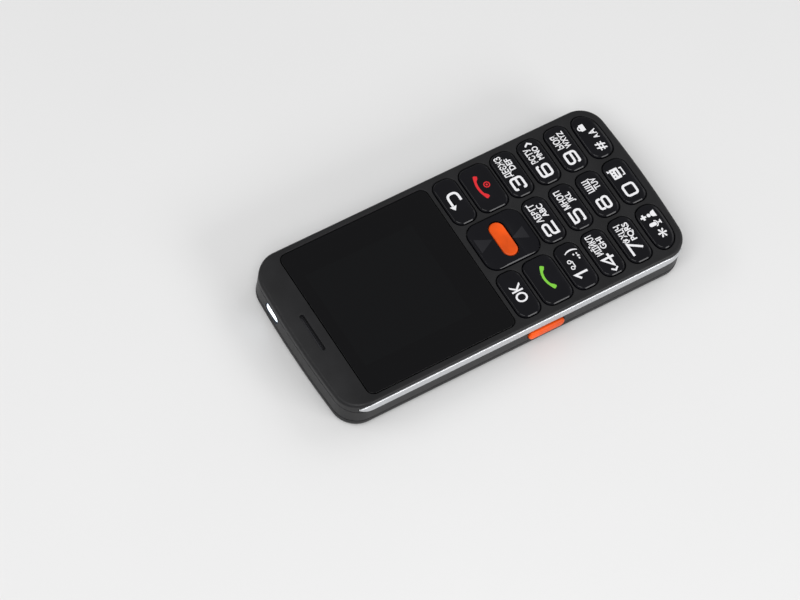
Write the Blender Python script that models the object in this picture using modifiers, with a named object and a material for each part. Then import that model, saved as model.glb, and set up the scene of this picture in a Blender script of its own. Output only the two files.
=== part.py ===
"""A bar-shaped mobile phone with large keys, modelled as the separate pieces that it is put together from.

The phone lies on its back. The origin is in the middle of the back face, +X is the phone's right-hand side,
+Y points to the end with the earpiece and the torch, and +Z points out of the display. Lengths are metres.
"""

import math

import bmesh
import bpy
from mathutils import Matrix, Vector

# Sizes shared by the whole phone
BODY_WIDTH = 0.058
BODY_LENGTH = 0.124
CORNER_RADIUS = 0.0080
END_RADIUS = 0.350
GAP = 0.0003
OVERRUN = 0.003
SEAT = 0.0004
WELD = 0.000001
CORNER_STEPS = 6
END_STEPS = 6
ROUND_STEPS = 12

# Battery cover
COVER_HEIGHT = 0.0034
COVER_FLOOR = 0.0013
COVER_WALL = 0.0013
COVER_FILLET = 0.0024
COVER_INNER_FILLET = 0.0011
GRIP_GROOVES = 5
GRIP_GROOVE_LENGTH = 0.020
GRIP_GROOVE_WIDTH = 0.0009
GRIP_GROOVE_DEPTH = 0.0004
GRIP_GROOVE_PITCH = 0.0022
GRIP_FROM_END = 0.013

# Battery and its bay
BATTERY_FROM_SIDE = 0.010
BATTERY_HEIGHT = 0.0050
BATTERY_CORNER = 0.0012
BATTERY_EDGE = 0.0005
BAY_WALL = 0.0010
BAY_CEILING = 0.0010
CONTACT_WIDTH = 0.0080
CONTACT_DEPTH = 0.0036
CONTACT_HEIGHT = 0.0030
CONTACT_SLOT_WIDTH = 0.0012
CONTACT_SLOT_DEPTH = 0.0012
CONTACT_SLOT_PITCH = 0.0026
CONTACT_TO_SIM = 0.0011

# Rear housing
REAR_FLOOR = 0.0010
REAR_WALL = 0.0013

# Circuit board
BOARD_THICKNESS = 0.0009

# Keypad layers, from the board up to the face
DOME_SHEET_THICKNESS = 0.00025
DOME_RISE = 0.0002
DOME_RADIUS = 0.0026
DOME_TOP_RADIUS = 0.0013
DOME_SIDES = 8
MAT_THICKNESS = 0.0005
KEY_PLAY = 0.00045
FLANGE_THICKNESS = 0.0007
WEB_THICKNESS = 0.0011
KEY_TOP_ROUND = 0.0005

# Key caps and their openings
KEY_PROUD = 0.0006
KEY_CLEARANCE = 0.00025
KEY_CORNER = 0.0030
KEY_LENGTH = 0.0081
COLUMN_GAP = 0.0017
ROW_GAP = 0.0017
NUMBER_ROWS = 4
BOTTOM_MARGIN = 0.00295
CALL_ROW_GAP = 0.0011
CALL_KEY_LENGTH = 0.0103
OK_ROW_GAP = 0.0013
OK_KEY_LENGTH = 0.0080
FLANGE_SIDE_OVERHANG = 0.0003

# Navigation pad and the bar in its middle
PAD_OVERHANG = 0.0003
PAD_TO_KEYS_END = 0.0006
PAD_CORNER = 0.0040
PAD_SCOOP_RADIUS = 0.0120
PAD_SCOOP_DEPTH = 0.0004
PAD_SCOOP_FROM_MIDDLE = 0.0064
BAR_FROM_PAD_SIDE = 0.0023
BAR_LENGTH = 0.0050
BAR_FLANGE = 0.0006
BAR_FLANGE_THICKNESS = 0.0004
BAR_PROUD = 0.0001
BAR_TOP_ROUND = 0.0004

# Side bands and the walls behind them
BAND_THICKNESS = 0.0009
BAND_PROUD = 0.0003
BAND_FROM_FACE = 0.0011
BAND_EDGE = 0.0004
BAND_TOP_ANGLE = math.radians(9)
BAND_BOTTOM_ANGLE = math.radians(42)
HOUSING_WALL = 0.00075
FACE_EDGE = 0.0005

# Display window, the ledge that carries it and the sloping end above it
WINDOW_THICKNESS = 0.0010
WINDOW_CORNER = 0.0022
WINDOW_RIM = 0.0009
WINDOW_FROM_TOP = 0.0094
WINDOW_TO_KEYS = 0.0018
LEDGE_THICKNESS = 0.0010
END_DROP = 0.0022
END_LINEAR_SHARE = 0.35
SLOPE_STEPS = 6

# Display module
DISPLAY_FROM_WINDOW_SIDE = 0.0066
DISPLAY_FROM_WINDOW_TOP = 0.0012
DISPLAY_FROM_WINDOW_END = 0.00745
DISPLAY_FRAME_WALL = 0.0012
DISPLAY_FRAME_FLOOR = 0.0004
DISPLAY_CORNER = 0.0010

# Earpiece
EAR_FROM_END = 0.0054
EAR_SLOT_WIDTH = 0.0136
EAR_SLOT_LENGTH = 0.0013
GRILLE_SIDE_OVERLAP = 0.0007
GRILLE_END_OVERLAP = 0.00085
GRILLE_THICKNESS = 0.0003
GRILLE_HOLES = 7
GRILLE_HOLE_RADIUS = 0.0005
GRILLE_HOLE_PITCH = 0.0018
RECEIVER_WIDTH = 0.0130
RECEIVER_LENGTH = 0.0060
RECEIVER_CORNER = 0.0015

# Screws, which go in from the back
HEAD_RADIUS = 0.0018
HEAD_HEIGHT = 0.0010
HEAD_SINK = 0.0003
HEAD_RECESS_RADIUS = 0.0007
HEAD_RECESS_DEPTH = 0.0006
SHANK_RADIUS = 0.0007
SHANK_IN_LEDGE = 0.0001
REAR_BOSS_WALL = 0.0004
FRONT_BOSS_WALL = 0.00055
SIDE_SCREW_FROM_EDGE = 0.005
SIDE_SCREW_ABOVE_WINDOW_END = 0.0036
TOP_SCREW_FROM_EDGE = 0.0085
TOP_SCREW_FROM_END = 0.009

# Orange key on the left wall, and its switch
SIDE_KEY_BELOW_SCREW = 0.0135
SIDE_KEY_LENGTH = 0.0127
SIDE_KEY_HEIGHT = 0.0035
SIDE_KEY_PROUD = 0.0010
SIDE_KEY_TRAVEL = 0.0004
SIDE_KEY_CORNER = 0.0016
SIDE_KEY_ROUND = 0.0006
SIDE_KEY_EAR = 0.0010
SIDE_KEY_EAR_THICKNESS = 0.0005
SIDE_KEY_STEM_INSET = 0.0005
SIDE_SWITCH_DEPTH = 0.0026
SIDE_SWITCH_LENGTH = 0.0060
SIDE_SWITCH_ACTUATOR = 0.0004
SIDE_SWITCH_ACTUATOR_LENGTH = 0.0020
SIDE_SWITCH_ACTUATOR_HEIGHT = 0.0012

# Torch in the top end
TORCH_FROM_SIDE = 0.0149
TORCH_WIDTH = 0.0070
TORCH_HEIGHT = 0.0034
TORCH_DEPTH = 0.0020
TORCH_ROUND = 0.0004
TORCH_LED_WIDTH = 0.0026
TORCH_LED_DEPTH = 0.0022
TORCH_LED_HEIGHT = 0.0024

# Sockets and microphone in the bottom end
USB_WIDTH = 0.0076
USB_HEIGHT = 0.0027
USB_DEPTH = 0.0054
USB_CORNER = 0.0008
USB_WALL = 0.0004
USB_SUNK = 0.0006
HEADSET_TO_BOSS = 0.0004
HEADSET_WIDTH = 0.0060
HEADSET_HEIGHT = 0.0050
HEADSET_TO_BAY = 0.0016
HEADSET_NOSE_RADIUS = 0.0021
HEADSET_NOSE_LENGTH = 0.0012
HEADSET_BORE_RADIUS = 0.00175
HEADSET_BORE_END_WALL = 0.0020
MICROPHONE_FROM_SIDE = 0.014
MICROPHONE_FROM_END = 0.0056
MICROPHONE_RADIUS = 0.0020
MICROPHONE_HEIGHT = 0.0014
MICROPHONE_HOLE_RADIUS = 0.0005

# Parts on the back of the board, above the battery
LOUDSPEAKER_X = 0.004
LOUDSPEAKER_FROM_END = 0.007
LOUDSPEAKER_WIDTH = 0.018
LOUDSPEAKER_LENGTH = 0.012
LOUDSPEAKER_RISE = 0.0005
LOUDSPEAKER_RIM = 0.0012
SOUND_SLOTS = 5
SOUND_SLOT_WIDTH = 0.0012
SOUND_SLOT_LENGTH = 0.0070
SOUND_SLOT_PITCH = 0.0026
MOTOR_FROM_LOUDSPEAKER = 0.00175
MOTOR_FROM_SIDE = 0.00475
MOTOR_FROM_PROCESSOR = 0.0014
MOTOR_WIDTH = 0.0036
MOTOR_HEIGHT = 0.0028
CARD_HOLDER_HEIGHT = 0.0018
CARD_WALL = 0.0003
SIM_FROM_SIDE = 0.009
SIM_SPACE = 0.008
SIM_LENGTH = 0.0135
MEMORY_WIDTH = 0.0135
MEMORY_LENGTH = 0.0125
MEMORY_FROM_SIDE = 0.00925
SHIELD_HEIGHT = 0.0020
SHIELD_CORNER = 0.0008
SHIELD_WALL = 0.0003
PROCESSOR_LENGTH = 0.0140
PROCESSOR_FROM_MEMORY = 0.00425
PROCESSOR_FROM_SIDE = 0.009
PROCESSOR_TO_LOUDSPEAKER = 0.0007
RADIO_FROM_SIDE = 0.0085
RADIO_TO_LOUDSPEAKER = 0.0025
RADIO_TO_BOSS = 0.0009
ROW_SPACE = 0.0018
ANTENNA_FROM_SIDE = 0.011
ANTENNA_TO_TORCH = 0.0046
ANTENNA_TO_WALL = 0.00025
ANTENNA_FROM_LOUDSPEAKER = 0.001
ANTENNA_HEIGHT = 0.0024
ANTENNA_NOTCH = 0.0012

# Levels and places worked out from the sizes above
REAR_BOTTOM = COVER_HEIGHT + GAP
BATTERY_BOTTOM = COVER_FLOOR + GAP
BATTERY_TOP = BATTERY_BOTTOM + BATTERY_HEIGHT
BAY_TOP = BATTERY_TOP + GAP + BAY_CEILING
BOARD_BOTTOM = BAY_TOP + GAP
BOARD_TOP = BOARD_BOTTOM + BOARD_THICKNESS
REAR_TOP = BOARD_BOTTOM + SEAT
FRONT_BOTTOM = REAR_TOP + GAP
DOME_BOTTOM = BOARD_TOP + GAP
DOME_TOP = DOME_BOTTOM + DOME_SHEET_THICKNESS + DOME_RISE
MAT_BOTTOM = DOME_TOP + GAP
MAT_TOP = MAT_BOTTOM + MAT_THICKNESS
FLANGE_BOTTOM = MAT_TOP + KEY_PLAY
FLANGE_TOP = FLANGE_BOTTOM + FLANGE_THICKNESS
WEB_BOTTOM = FLANGE_TOP + GAP
FACE = WEB_BOTTOM + WEB_THICKNESS
KEY_TOP = FACE + KEY_PROUD
BAND_TOP = FACE - BAND_FROM_FACE
WINDOW_LOW = FACE - WINDOW_THICKNESS
LEDGE_TOP = WINDOW_LOW - GAP
LEDGE_BOTTOM = LEDGE_TOP - LEDGE_THICKNESS
PARTS_TOP = BOARD_BOTTOM - GAP
PARTS_MIDDLE = (REAR_BOTTOM + REAR_TOP) / 2

HALF_WIDTH = BODY_WIDTH / 2
HALF_LENGTH = BODY_LENGTH / 2
CHANNEL_INSET = BAND_THICKNESS + GAP
CAVITY_INSET = CHANNEL_INSET + HOUSING_WALL
BOARD_INSET = CAVITY_INSET + GAP
KEY_INSET = BOARD_INSET + FLANGE_SIDE_OVERHANG
FLANGE_END_OVERHANG = (min(ROW_GAP, CALL_ROW_GAP, OK_ROW_GAP) - GAP) / 2
KEY_WIDTH = (BODY_WIDTH - 2 * KEY_INSET - 2 * COLUMN_GAP) / 3
COLUMN_PITCH = KEY_WIDTH + COLUMN_GAP
ROW_PITCH = KEY_LENGTH + ROW_GAP
FIRST_ROW_Y = BOTTOM_MARGIN + KEY_LENGTH / 2 - HALF_LENGTH
CALL_LOW = FIRST_ROW_Y + (NUMBER_ROWS - 1) * ROW_PITCH + KEY_LENGTH / 2 + CALL_ROW_GAP
CALL_Y = CALL_LOW + CALL_KEY_LENGTH / 2
OK_LOW = CALL_LOW + CALL_KEY_LENGTH + OK_ROW_GAP
OK_Y = OK_LOW + OK_KEY_LENGTH / 2
KEYS_END = OK_LOW + OK_KEY_LENGTH
PAD_WIDTH = KEY_WIDTH + 2 * PAD_OVERHANG
PAD_LENGTH = KEYS_END - CALL_LOW - PAD_TO_KEYS_END
PAD_Y = CALL_LOW + PAD_LENGTH / 2
BAR_WIDTH = PAD_WIDTH - 2 * BAR_FROM_PAD_SIDE
WINDOW_END = KEYS_END + WINDOW_TO_KEYS
WINDOW_START = HALF_LENGTH - WINDOW_FROM_TOP
WINDOW_LENGTH = WINDOW_START - WINDOW_END
WINDOW_Y = (WINDOW_START + WINDOW_END) / 2
WINDOW_WIDTH = BODY_WIDTH - 2 * (CHANNEL_INSET + WINDOW_RIM + GAP)
KEYPAD_END = KEYS_END + FLANGE_END_OVERHANG
DISPLAY_WIDTH = WINDOW_WIDTH - 2 * DISPLAY_FROM_WINDOW_SIDE
DISPLAY_LENGTH = WINDOW_LENGTH - DISPLAY_FROM_WINDOW_TOP - DISPLAY_FROM_WINDOW_END
DISPLAY_Y = WINDOW_START - DISPLAY_FROM_WINDOW_TOP - DISPLAY_LENGTH / 2
EAR_Y = HALF_LENGTH - EAR_FROM_END
GRILLE_WIDTH = EAR_SLOT_WIDTH + 2 * GRILLE_SIDE_OVERLAP
GRILLE_LENGTH = EAR_SLOT_LENGTH + 2 * GRILLE_END_OVERLAP

BORE_RADIUS = SHANK_RADIUS + GAP
COUNTERBORE_RADIUS = HEAD_RADIUS + GAP
REAR_BOSS_RADIUS = COUNTERBORE_RADIUS + REAR_BOSS_WALL
FRONT_BOSS_RADIUS = BORE_RADIUS + FRONT_BOSS_WALL
BOTTOM_SCREW_X = COLUMN_PITCH / 2
BOTTOM_SCREW_Y = FIRST_ROW_Y + ROW_PITCH / 2
SIDE_SCREW_Y = WINDOW_END + SIDE_SCREW_ABOVE_WINDOW_END
TOP_SCREW_Y = HALF_LENGTH - TOP_SCREW_FROM_END
HEAD_BOTTOM = REAR_BOTTOM + HEAD_SINK
HEAD_TOP = HEAD_BOTTOM + HEAD_HEIGHT
SHANK_TOP = LEDGE_BOTTOM + SHANK_IN_LEDGE

SIDE_KEY_Y = SIDE_SCREW_Y - SIDE_KEY_BELOW_SCREW
TORCH_X = HALF_WIDTH - TORCH_FROM_SIDE
HEADSET_X = -(BOTTOM_SCREW_X + REAR_BOSS_RADIUS + HEADSET_TO_BOSS + HEADSET_WIDTH / 2)
MICROPHONE_X = HALF_WIDTH - MICROPHONE_FROM_SIDE
LOUDSPEAKER_Y = HALF_LENGTH - LOUDSPEAKER_FROM_END - LOUDSPEAKER_LENGTH / 2
PROCESSOR_HIGH = LOUDSPEAKER_Y - LOUDSPEAKER_LENGTH / 2 - PROCESSOR_TO_LOUDSPEAKER
SECOND_ROW = PROCESSOR_HIGH - PROCESSOR_LENGTH
THIRD_ROW = PROCESSOR_HIGH + ROW_SPACE
SIM_Y = SECOND_ROW - ROW_SPACE - SIM_LENGTH / 2
SIM_WIDTH = HALF_WIDTH - SIM_FROM_SIDE - SIM_SPACE / 2
SIM_X = (SIM_SPACE + SIM_WIDTH) / 2
MEMORY_PLACE = (MEMORY_FROM_SIDE + MEMORY_WIDTH / 2 - HALF_WIDTH, SECOND_ROW + MEMORY_LENGTH / 2)
BATTERY_END = SIM_Y - SIM_LENGTH / 2 - CONTACT_TO_SIM - CONTACT_DEPTH - GAP
BAY_LOW = BOTTOM_SCREW_Y + REAR_BOSS_RADIUS + GAP
BATTERY_LOW = BAY_LOW + BAY_WALL + GAP
BATTERY_WIDTH = BODY_WIDTH - 2 * BATTERY_FROM_SIDE
BATTERY_LENGTH = BATTERY_END - BATTERY_LOW
BATTERY_Y = (BATTERY_END + BATTERY_LOW) / 2

for left_over in list(bpy.data.objects):
    bpy.data.objects.remove(left_over)
phone = bpy.data.collections.new("mobile_phone")
cutters = bpy.data.collections.new("cutters")
bpy.context.scene.collection.children.link(phone)
bpy.context.scene.collection.children.link(cutters)


def plastic(name, colour, roughness, metallic=0.0):
    """A plain finish of one colour for a piece of the phone."""
    material = bpy.data.materials.new(name)
    material.use_nodes = True
    shader = material.node_tree.nodes["Principled BSDF"]
    shader.inputs["Base Color"].default_value = (*colour, 1.0)
    shader.inputs["Roughness"].default_value = roughness
    shader.inputs["Metallic"].default_value = metallic
    material.diffuse_color = (*colour, 1.0)
    return material


dark_plastic = plastic("dark_housing_plastic", (0.012, 0.013, 0.015), 0.45)
cover_plastic = plastic("battery_cover_plastic", (0.010, 0.010, 0.011), 0.55)
key_plastic = plastic("glossy_key_plastic", (0.004, 0.004, 0.006), 0.12)
window_plastic = plastic("smoked_display_window", (0.002, 0.002, 0.003), 0.04)
silver = plastic("silver_trim", (0.50, 0.51, 0.53), 0.35, 0.8)
orange = plastic("orange_key_plastic", (0.85, 0.14, 0.01), 0.35)
lens_plastic = plastic("clear_lens", (0.75, 0.80, 0.85), 0.05)
board_green = plastic("circuit_board", (0.01, 0.10, 0.05), 0.5)
tin = plastic("tinned_steel", (0.60, 0.60, 0.58), 0.3, 1.0)
foil = plastic("dome_sheet_foil", (0.70, 0.72, 0.72), 0.3)
rubber = plastic("keypad_rubber", (0.20, 0.20, 0.21), 0.7)
label = plastic("battery_wrap", (0.12, 0.13, 0.15), 0.4)
inner_plastic = plastic("black_component_plastic", (0.02, 0.02, 0.02), 0.5)
display_glass = plastic("display_glass", (0.01, 0.012, 0.015), 0.06)
led_yellow = plastic("torch_led_phosphor", (0.80, 0.70, 0.20), 0.3)


def arc(centre_x, centre_y, radius, start, end, steps):
    """Points along an arc, both ends included."""
    turns = [start + (end - start) * step / steps for step in range(steps + 1)]
    return [(centre_x + radius * math.cos(turn), centre_y + radius * math.sin(turn)) for turn in turns]


def rounded_rectangle(width, length, radius, steps=3, centre=(0.0, 0.0)):
    """The outline of a rectangle with round corners, anticlockwise from its right-hand side."""
    reach = min(radius, width / 2 - WELD, length / 2 - WELD)
    points = []
    for number, (side_x, side_y) in enumerate(((1, 1), (-1, 1), (-1, -1), (1, -1))):
        middle_x = centre[0] + side_x * (width / 2 - reach)
        middle_y = centre[1] + side_y * (length / 2 - reach)
        start = number * math.pi / 2
        points += arc(middle_x, middle_y, reach, start, start + math.pi / 2, steps)
    return points


def corner_centre():
    """The centre of the top right corner's arc, which runs into the wide arc of the end."""
    middle_x = HALF_WIDTH - CORNER_RADIUS
    rise = math.sqrt((END_RADIUS - CORNER_RADIUS) ** 2 - middle_x**2)
    return middle_x, HALF_LENGTH - END_RADIUS + rise, math.atan2(rise, middle_x)


def body_outline(inset):
    """The phone's outline seen from the front, set in by a distance: straight sides and gently bowed ends."""
    middle_x, middle_y, meet = corner_centre()
    corner = arc(middle_x, middle_y, CORNER_RADIUS - inset, 0, meet, CORNER_STEPS)
    end = arc(0, HALF_LENGTH - END_RADIUS, END_RADIUS - inset, meet, math.pi - meet, END_STEPS)
    quarter = corner[:-1] + end[:-1]
    upper = quarter + [(-x, y) for x, y in reversed(corner)]
    return upper + [(-x, -y) for x, y in upper]


def end_y(x, inset):
    """How far the bowed end or its round corner lies from the middle, at a place across it."""
    middle_x, middle_y, meet = corner_centre()
    if x > (END_RADIUS - inset) * math.cos(meet):
        return middle_y + math.sqrt((CORNER_RADIUS - inset) ** 2 - (x - middle_x) ** 2)
    return HALF_LENGTH - END_RADIUS + math.sqrt((END_RADIUS - inset) ** 2 - x**2)


def clipped(points, fence):
    """The part of a convex outline that lies inside another convex outline."""
    for number, start in enumerate(fence):
        edge = Vector(fence[(number + 1) % len(fence)]) - Vector(start)
        kept = []
        for place, point in enumerate(points):
            before = points[place - 1]
            side = edge.cross(Vector(point) - Vector(start))
            side_before = edge.cross(Vector(before) - Vector(start))
            if side * side_before < 0:
                share = side_before / (side_before - side)
                kept.append(tuple(Vector(before).lerp(Vector(point), share)))
            if side >= 0:
                kept.append(point)
        points = kept
    return points


def below(y):
    """A fence that keeps what lies below a line across the phone."""
    return [(-BODY_WIDTH, -BODY_LENGTH), (BODY_WIDTH, -BODY_LENGTH), (BODY_WIDTH, y), (-BODY_WIDTH, y)]


def placed(name, mesh, material, location, turn, collection):
    body = bpy.data.objects.new(name, mesh)
    body.location = location
    body.rotation_euler = turn
    collection.objects.link(body)
    if material is None:
        body.hide_render = True
        body.display_type = "WIRE"
    else:
        mesh.materials.append(material)
        mesh.shade_smooth()
        mesh.set_sharp_from_angle(angle=math.radians(35))
    return body


def slab(name, points, low, high, material=None, round_top=0.0, round_low=0.0, steps=2, at=(0, 0), axis="Z"):
    """A flat outline given a thickness from low to high along an axis, with its rims rounded if wanted.

    Along Z the outline is seen from the front, along X and Y its second coordinate is the height."""
    curve = bpy.data.curves.new(name, "CURVE")
    curve.dimensions = "2D"
    curve.fill_mode = "BOTH"
    curve.extrude = (high - low) / 2
    spline = curve.splines.new("POLY")
    spline.points.add(len(points) - 1)
    for point, (x, y) in zip(spline.points, points):
        point.co = (x, y, 0, 1)
    spline.use_cyclic_u = True
    outline = bpy.data.objects.new(name, curve)
    phone.objects.link(outline)
    drawn = outline.evaluated_get(bpy.context.evaluated_depsgraph_get())
    mesh = bpy.data.meshes.new_from_object(drawn)
    bpy.data.objects.remove(outline)
    bpy.data.curves.remove(curve)
    shape = bmesh.new()
    shape.from_mesh(mesh)
    bmesh.ops.remove_doubles(shape, verts=shape.verts, dist=WELD)
    bmesh.ops.dissolve_limit(shape, angle_limit=math.radians(1), verts=shape.verts, edges=shape.edges)
    for amount, side in ((round_top, 1), (round_low, -1)):
        if amount:
            rim = [edge for edge in shape.edges if all(vert.co.z * side > 0 for vert in edge.verts)]
            level = max(vert.co.z * side for vert in shape.verts)
            rim = [edge for edge in rim if all(abs(vert.co.z * side - level) < WELD for vert in edge.verts)]
            bmesh.ops.bevel(shape, geom=rim, offset=amount, segments=steps, profile=0.5, affect="EDGES")
    bmesh.ops.recalc_face_normals(shape, faces=shape.faces)
    shape.to_mesh(mesh)
    shape.free()
    mesh.name = name
    middle = (low + high) / 2
    turn = {"Z": (0, 0, 0), "X": (math.pi / 2, 0, math.pi / 2), "Y": (math.pi / 2, 0, math.pi)}[axis]
    location = {"Z": (*at, middle), "X": (middle, *at), "Y": (at[0], middle, at[1])}[axis]
    return placed(name, mesh, material, location, turn, cutters if material is None else phone)


def cylinder(name, radius, low, high, at, material=None, axis="Z", steps=ROUND_STEPS, tip=None):
    """A round bar or cone from low to high along an axis."""
    shape = bmesh.new()
    tip = radius if tip is None else tip
    bmesh.ops.create_cone(
        shape, cap_ends=True, segments=steps, radius1=radius, radius2=tip, depth=high - low
    )
    mesh = bpy.data.meshes.new(name)
    shape.to_mesh(mesh)
    shape.free()
    middle = (low + high) / 2
    turn = {"Z": (0, 0, 0), "X": (0, math.pi / 2, 0), "Y": (-math.pi / 2, 0, 0)}[axis]
    location = {"Z": (*at, middle), "X": (middle, *at), "Y": (at[0], middle, at[1])}[axis]
    return placed(name, mesh, material, location, turn, cutters if material is None else phone)


def box(name, x_range, y_range, z_range, material=None):
    """A plain block between two corners."""
    shape = bmesh.new()
    bmesh.ops.create_cube(shape, size=1)
    sides = [high - low for low, high in (x_range, y_range, z_range)]
    bmesh.ops.transform(shape, matrix=Matrix.Diagonal((*sides, 1)), verts=shape.verts)
    mesh = bpy.data.meshes.new(name)
    shape.to_mesh(mesh)
    shape.free()
    middle = [(low + high) / 2 for low, high in (x_range, y_range, z_range)]
    return placed(name, mesh, material, middle, (0, 0, 0), cutters if material is None else phone)


def combine(target, operation, tools):
    for tool in tools:
        change = target.modifiers.new(tool.name, "BOOLEAN")
        change.operation = operation
        change.solver = "EXACT"
        change.object = tool
    return target


def cut(target, *tools):
    return combine(target, "DIFFERENCE", tools)


def join(target, *tools):
    return combine(target, "UNION", tools)


def span(middle, size):
    return middle - size / 2, middle + size / 2


def evenly(count, pitch):
    """Places in a row about zero."""
    return [pitch * (number - (count - 1) / 2) for number in range(count)]


def screw_places():
    """Where the six housing screws stand, and how high the front housing is over each."""
    side_x = HALF_WIDTH - SIDE_SCREW_FROM_EDGE
    top_x = HALF_WIDTH - TOP_SCREW_FROM_EDGE
    rows = (("bottom", BOTTOM_SCREW_X, BOTTOM_SCREW_Y, WEB_BOTTOM),)
    rows += (("middle", side_x, SIDE_SCREW_Y, LEDGE_BOTTOM), ("top", top_x, TOP_SCREW_Y, LEDGE_BOTTOM))
    sides = (("left", -1), ("right", 1))
    return [(f"{row}_{side}", sign * x, y, roof) for row, x, y, roof in rows for side, sign in sides]


def key_places():
    """Name, middle and length of each plain key."""
    names = (("key_star", "key_0", "key_hash"), ("key_7", "key_8", "key_9"))
    names += (("key_4", "key_5", "key_6"), ("key_1", "key_2", "key_3"))
    places = []
    for row, row_names in enumerate(names):
        for column, name in enumerate(row_names):
            places.append((name, (column - 1) * COLUMN_PITCH, FIRST_ROW_Y + row * ROW_PITCH, KEY_LENGTH))
    places.append(("call_key", -COLUMN_PITCH, CALL_Y, CALL_KEY_LENGTH))
    places.append(("end_key", COLUMN_PITCH, CALL_Y, CALL_KEY_LENGTH))
    places.append(("ok_key", -COLUMN_PITCH, OK_Y, OK_KEY_LENGTH))
    places.append(("back_key", COLUMN_PITCH, OK_Y, OK_KEY_LENGTH))
    return places


def key_outline(x, y, length, side_grow, end_grow):
    """A key's outline, grown at its sides and ends, kept inside the phone's own outline."""
    grown = rounded_rectangle(
        KEY_WIDTH + 2 * side_grow, length + 2 * end_grow, KEY_CORNER + side_grow, centre=(x, y)
    )
    outer_corner = abs(x) > 0 and y < FIRST_ROW_Y + KEY_LENGTH / 2
    shape = clipped(grown, body_outline(KEY_INSET - side_grow)) if outer_corner else grown
    return [(px - x, py - y) for px, py in shape]


def pad_outline(grow):
    return rounded_rectangle(PAD_WIDTH + 2 * grow, PAD_LENGTH + 2 * grow, PAD_CORNER + grow)


def bar_outline(grow):
    return rounded_rectangle(BAR_WIDTH + 2 * grow, BAR_LENGTH + 2 * grow, BAR_LENGTH / 2 + grow, steps=4)


def side_path(inset, extra):
    """The right-hand side of the outline from the bottom corner to the top corner."""
    middle_x, middle_y, _ = corner_centre()
    radius = CORNER_RADIUS - inset
    reach = extra / CORNER_RADIUS
    low = arc(middle_x, -middle_y, radius, -BAND_BOTTOM_ANGLE - reach, 0, CORNER_STEPS)
    high = arc(middle_x, middle_y, radius, 0, BAND_TOP_ANGLE + reach, CORNER_STEPS // 2)
    return low + high


def band_outline(side, outer_inset, inner_inset, extra=0.0):
    """A strip along one side of the phone."""
    strip = side_path(outer_inset, extra) + list(reversed(side_path(inner_inset, extra)))
    return strip if side > 0 else [(-x, y) for x, y in reversed(strip)]


def battery_cover():
    cover = slab(
        "battery_cover", body_outline(0), 0, COVER_HEIGHT, cover_plastic, round_low=COVER_FILLET, steps=4
    )
    hollow = slab(
        "cover_hollow", body_outline(COVER_WALL), COVER_FLOOR, COVER_HEIGHT + OVERRUN,
        round_low=COVER_INNER_FILLET,
    )
    cut(cover, hollow)
    for number, x in enumerate(evenly(SOUND_SLOTS, SOUND_SLOT_PITCH)):
        slot = rounded_rectangle(SOUND_SLOT_WIDTH, SOUND_SLOT_LENGTH, SOUND_SLOT_WIDTH / 2)
        place = (LOUDSPEAKER_X + x, LOUDSPEAKER_Y)
        cut(cover, slab(f"cover_sound_slot_{number}", slot, -OVERRUN, COVER_FLOOR + OVERRUN, at=place))
    for number, y in enumerate(evenly(GRIP_GROOVES, GRIP_GROOVE_PITCH)):
        groove = rounded_rectangle(GRIP_GROOVE_LENGTH, GRIP_GROOVE_WIDTH, GRIP_GROOVE_WIDTH / 2)
        place = (0, GRIP_FROM_END - HALF_LENGTH + y)
        cut(cover, slab(f"grip_groove_{number}", groove, -OVERRUN, GRIP_GROOVE_DEPTH, at=place))


def floor_window(name, width, length, place):
    """An opening in the rear housing's floor, a clearance larger than the part behind it."""
    outline = rounded_rectangle(width + 2 * GAP, length + 2 * GAP, SHIELD_CORNER)
    return slab(name, outline, REAR_BOTTOM - OVERRUN, REAR_BOTTOM + REAR_FLOOR + OVERRUN / 2, at=place)


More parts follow.
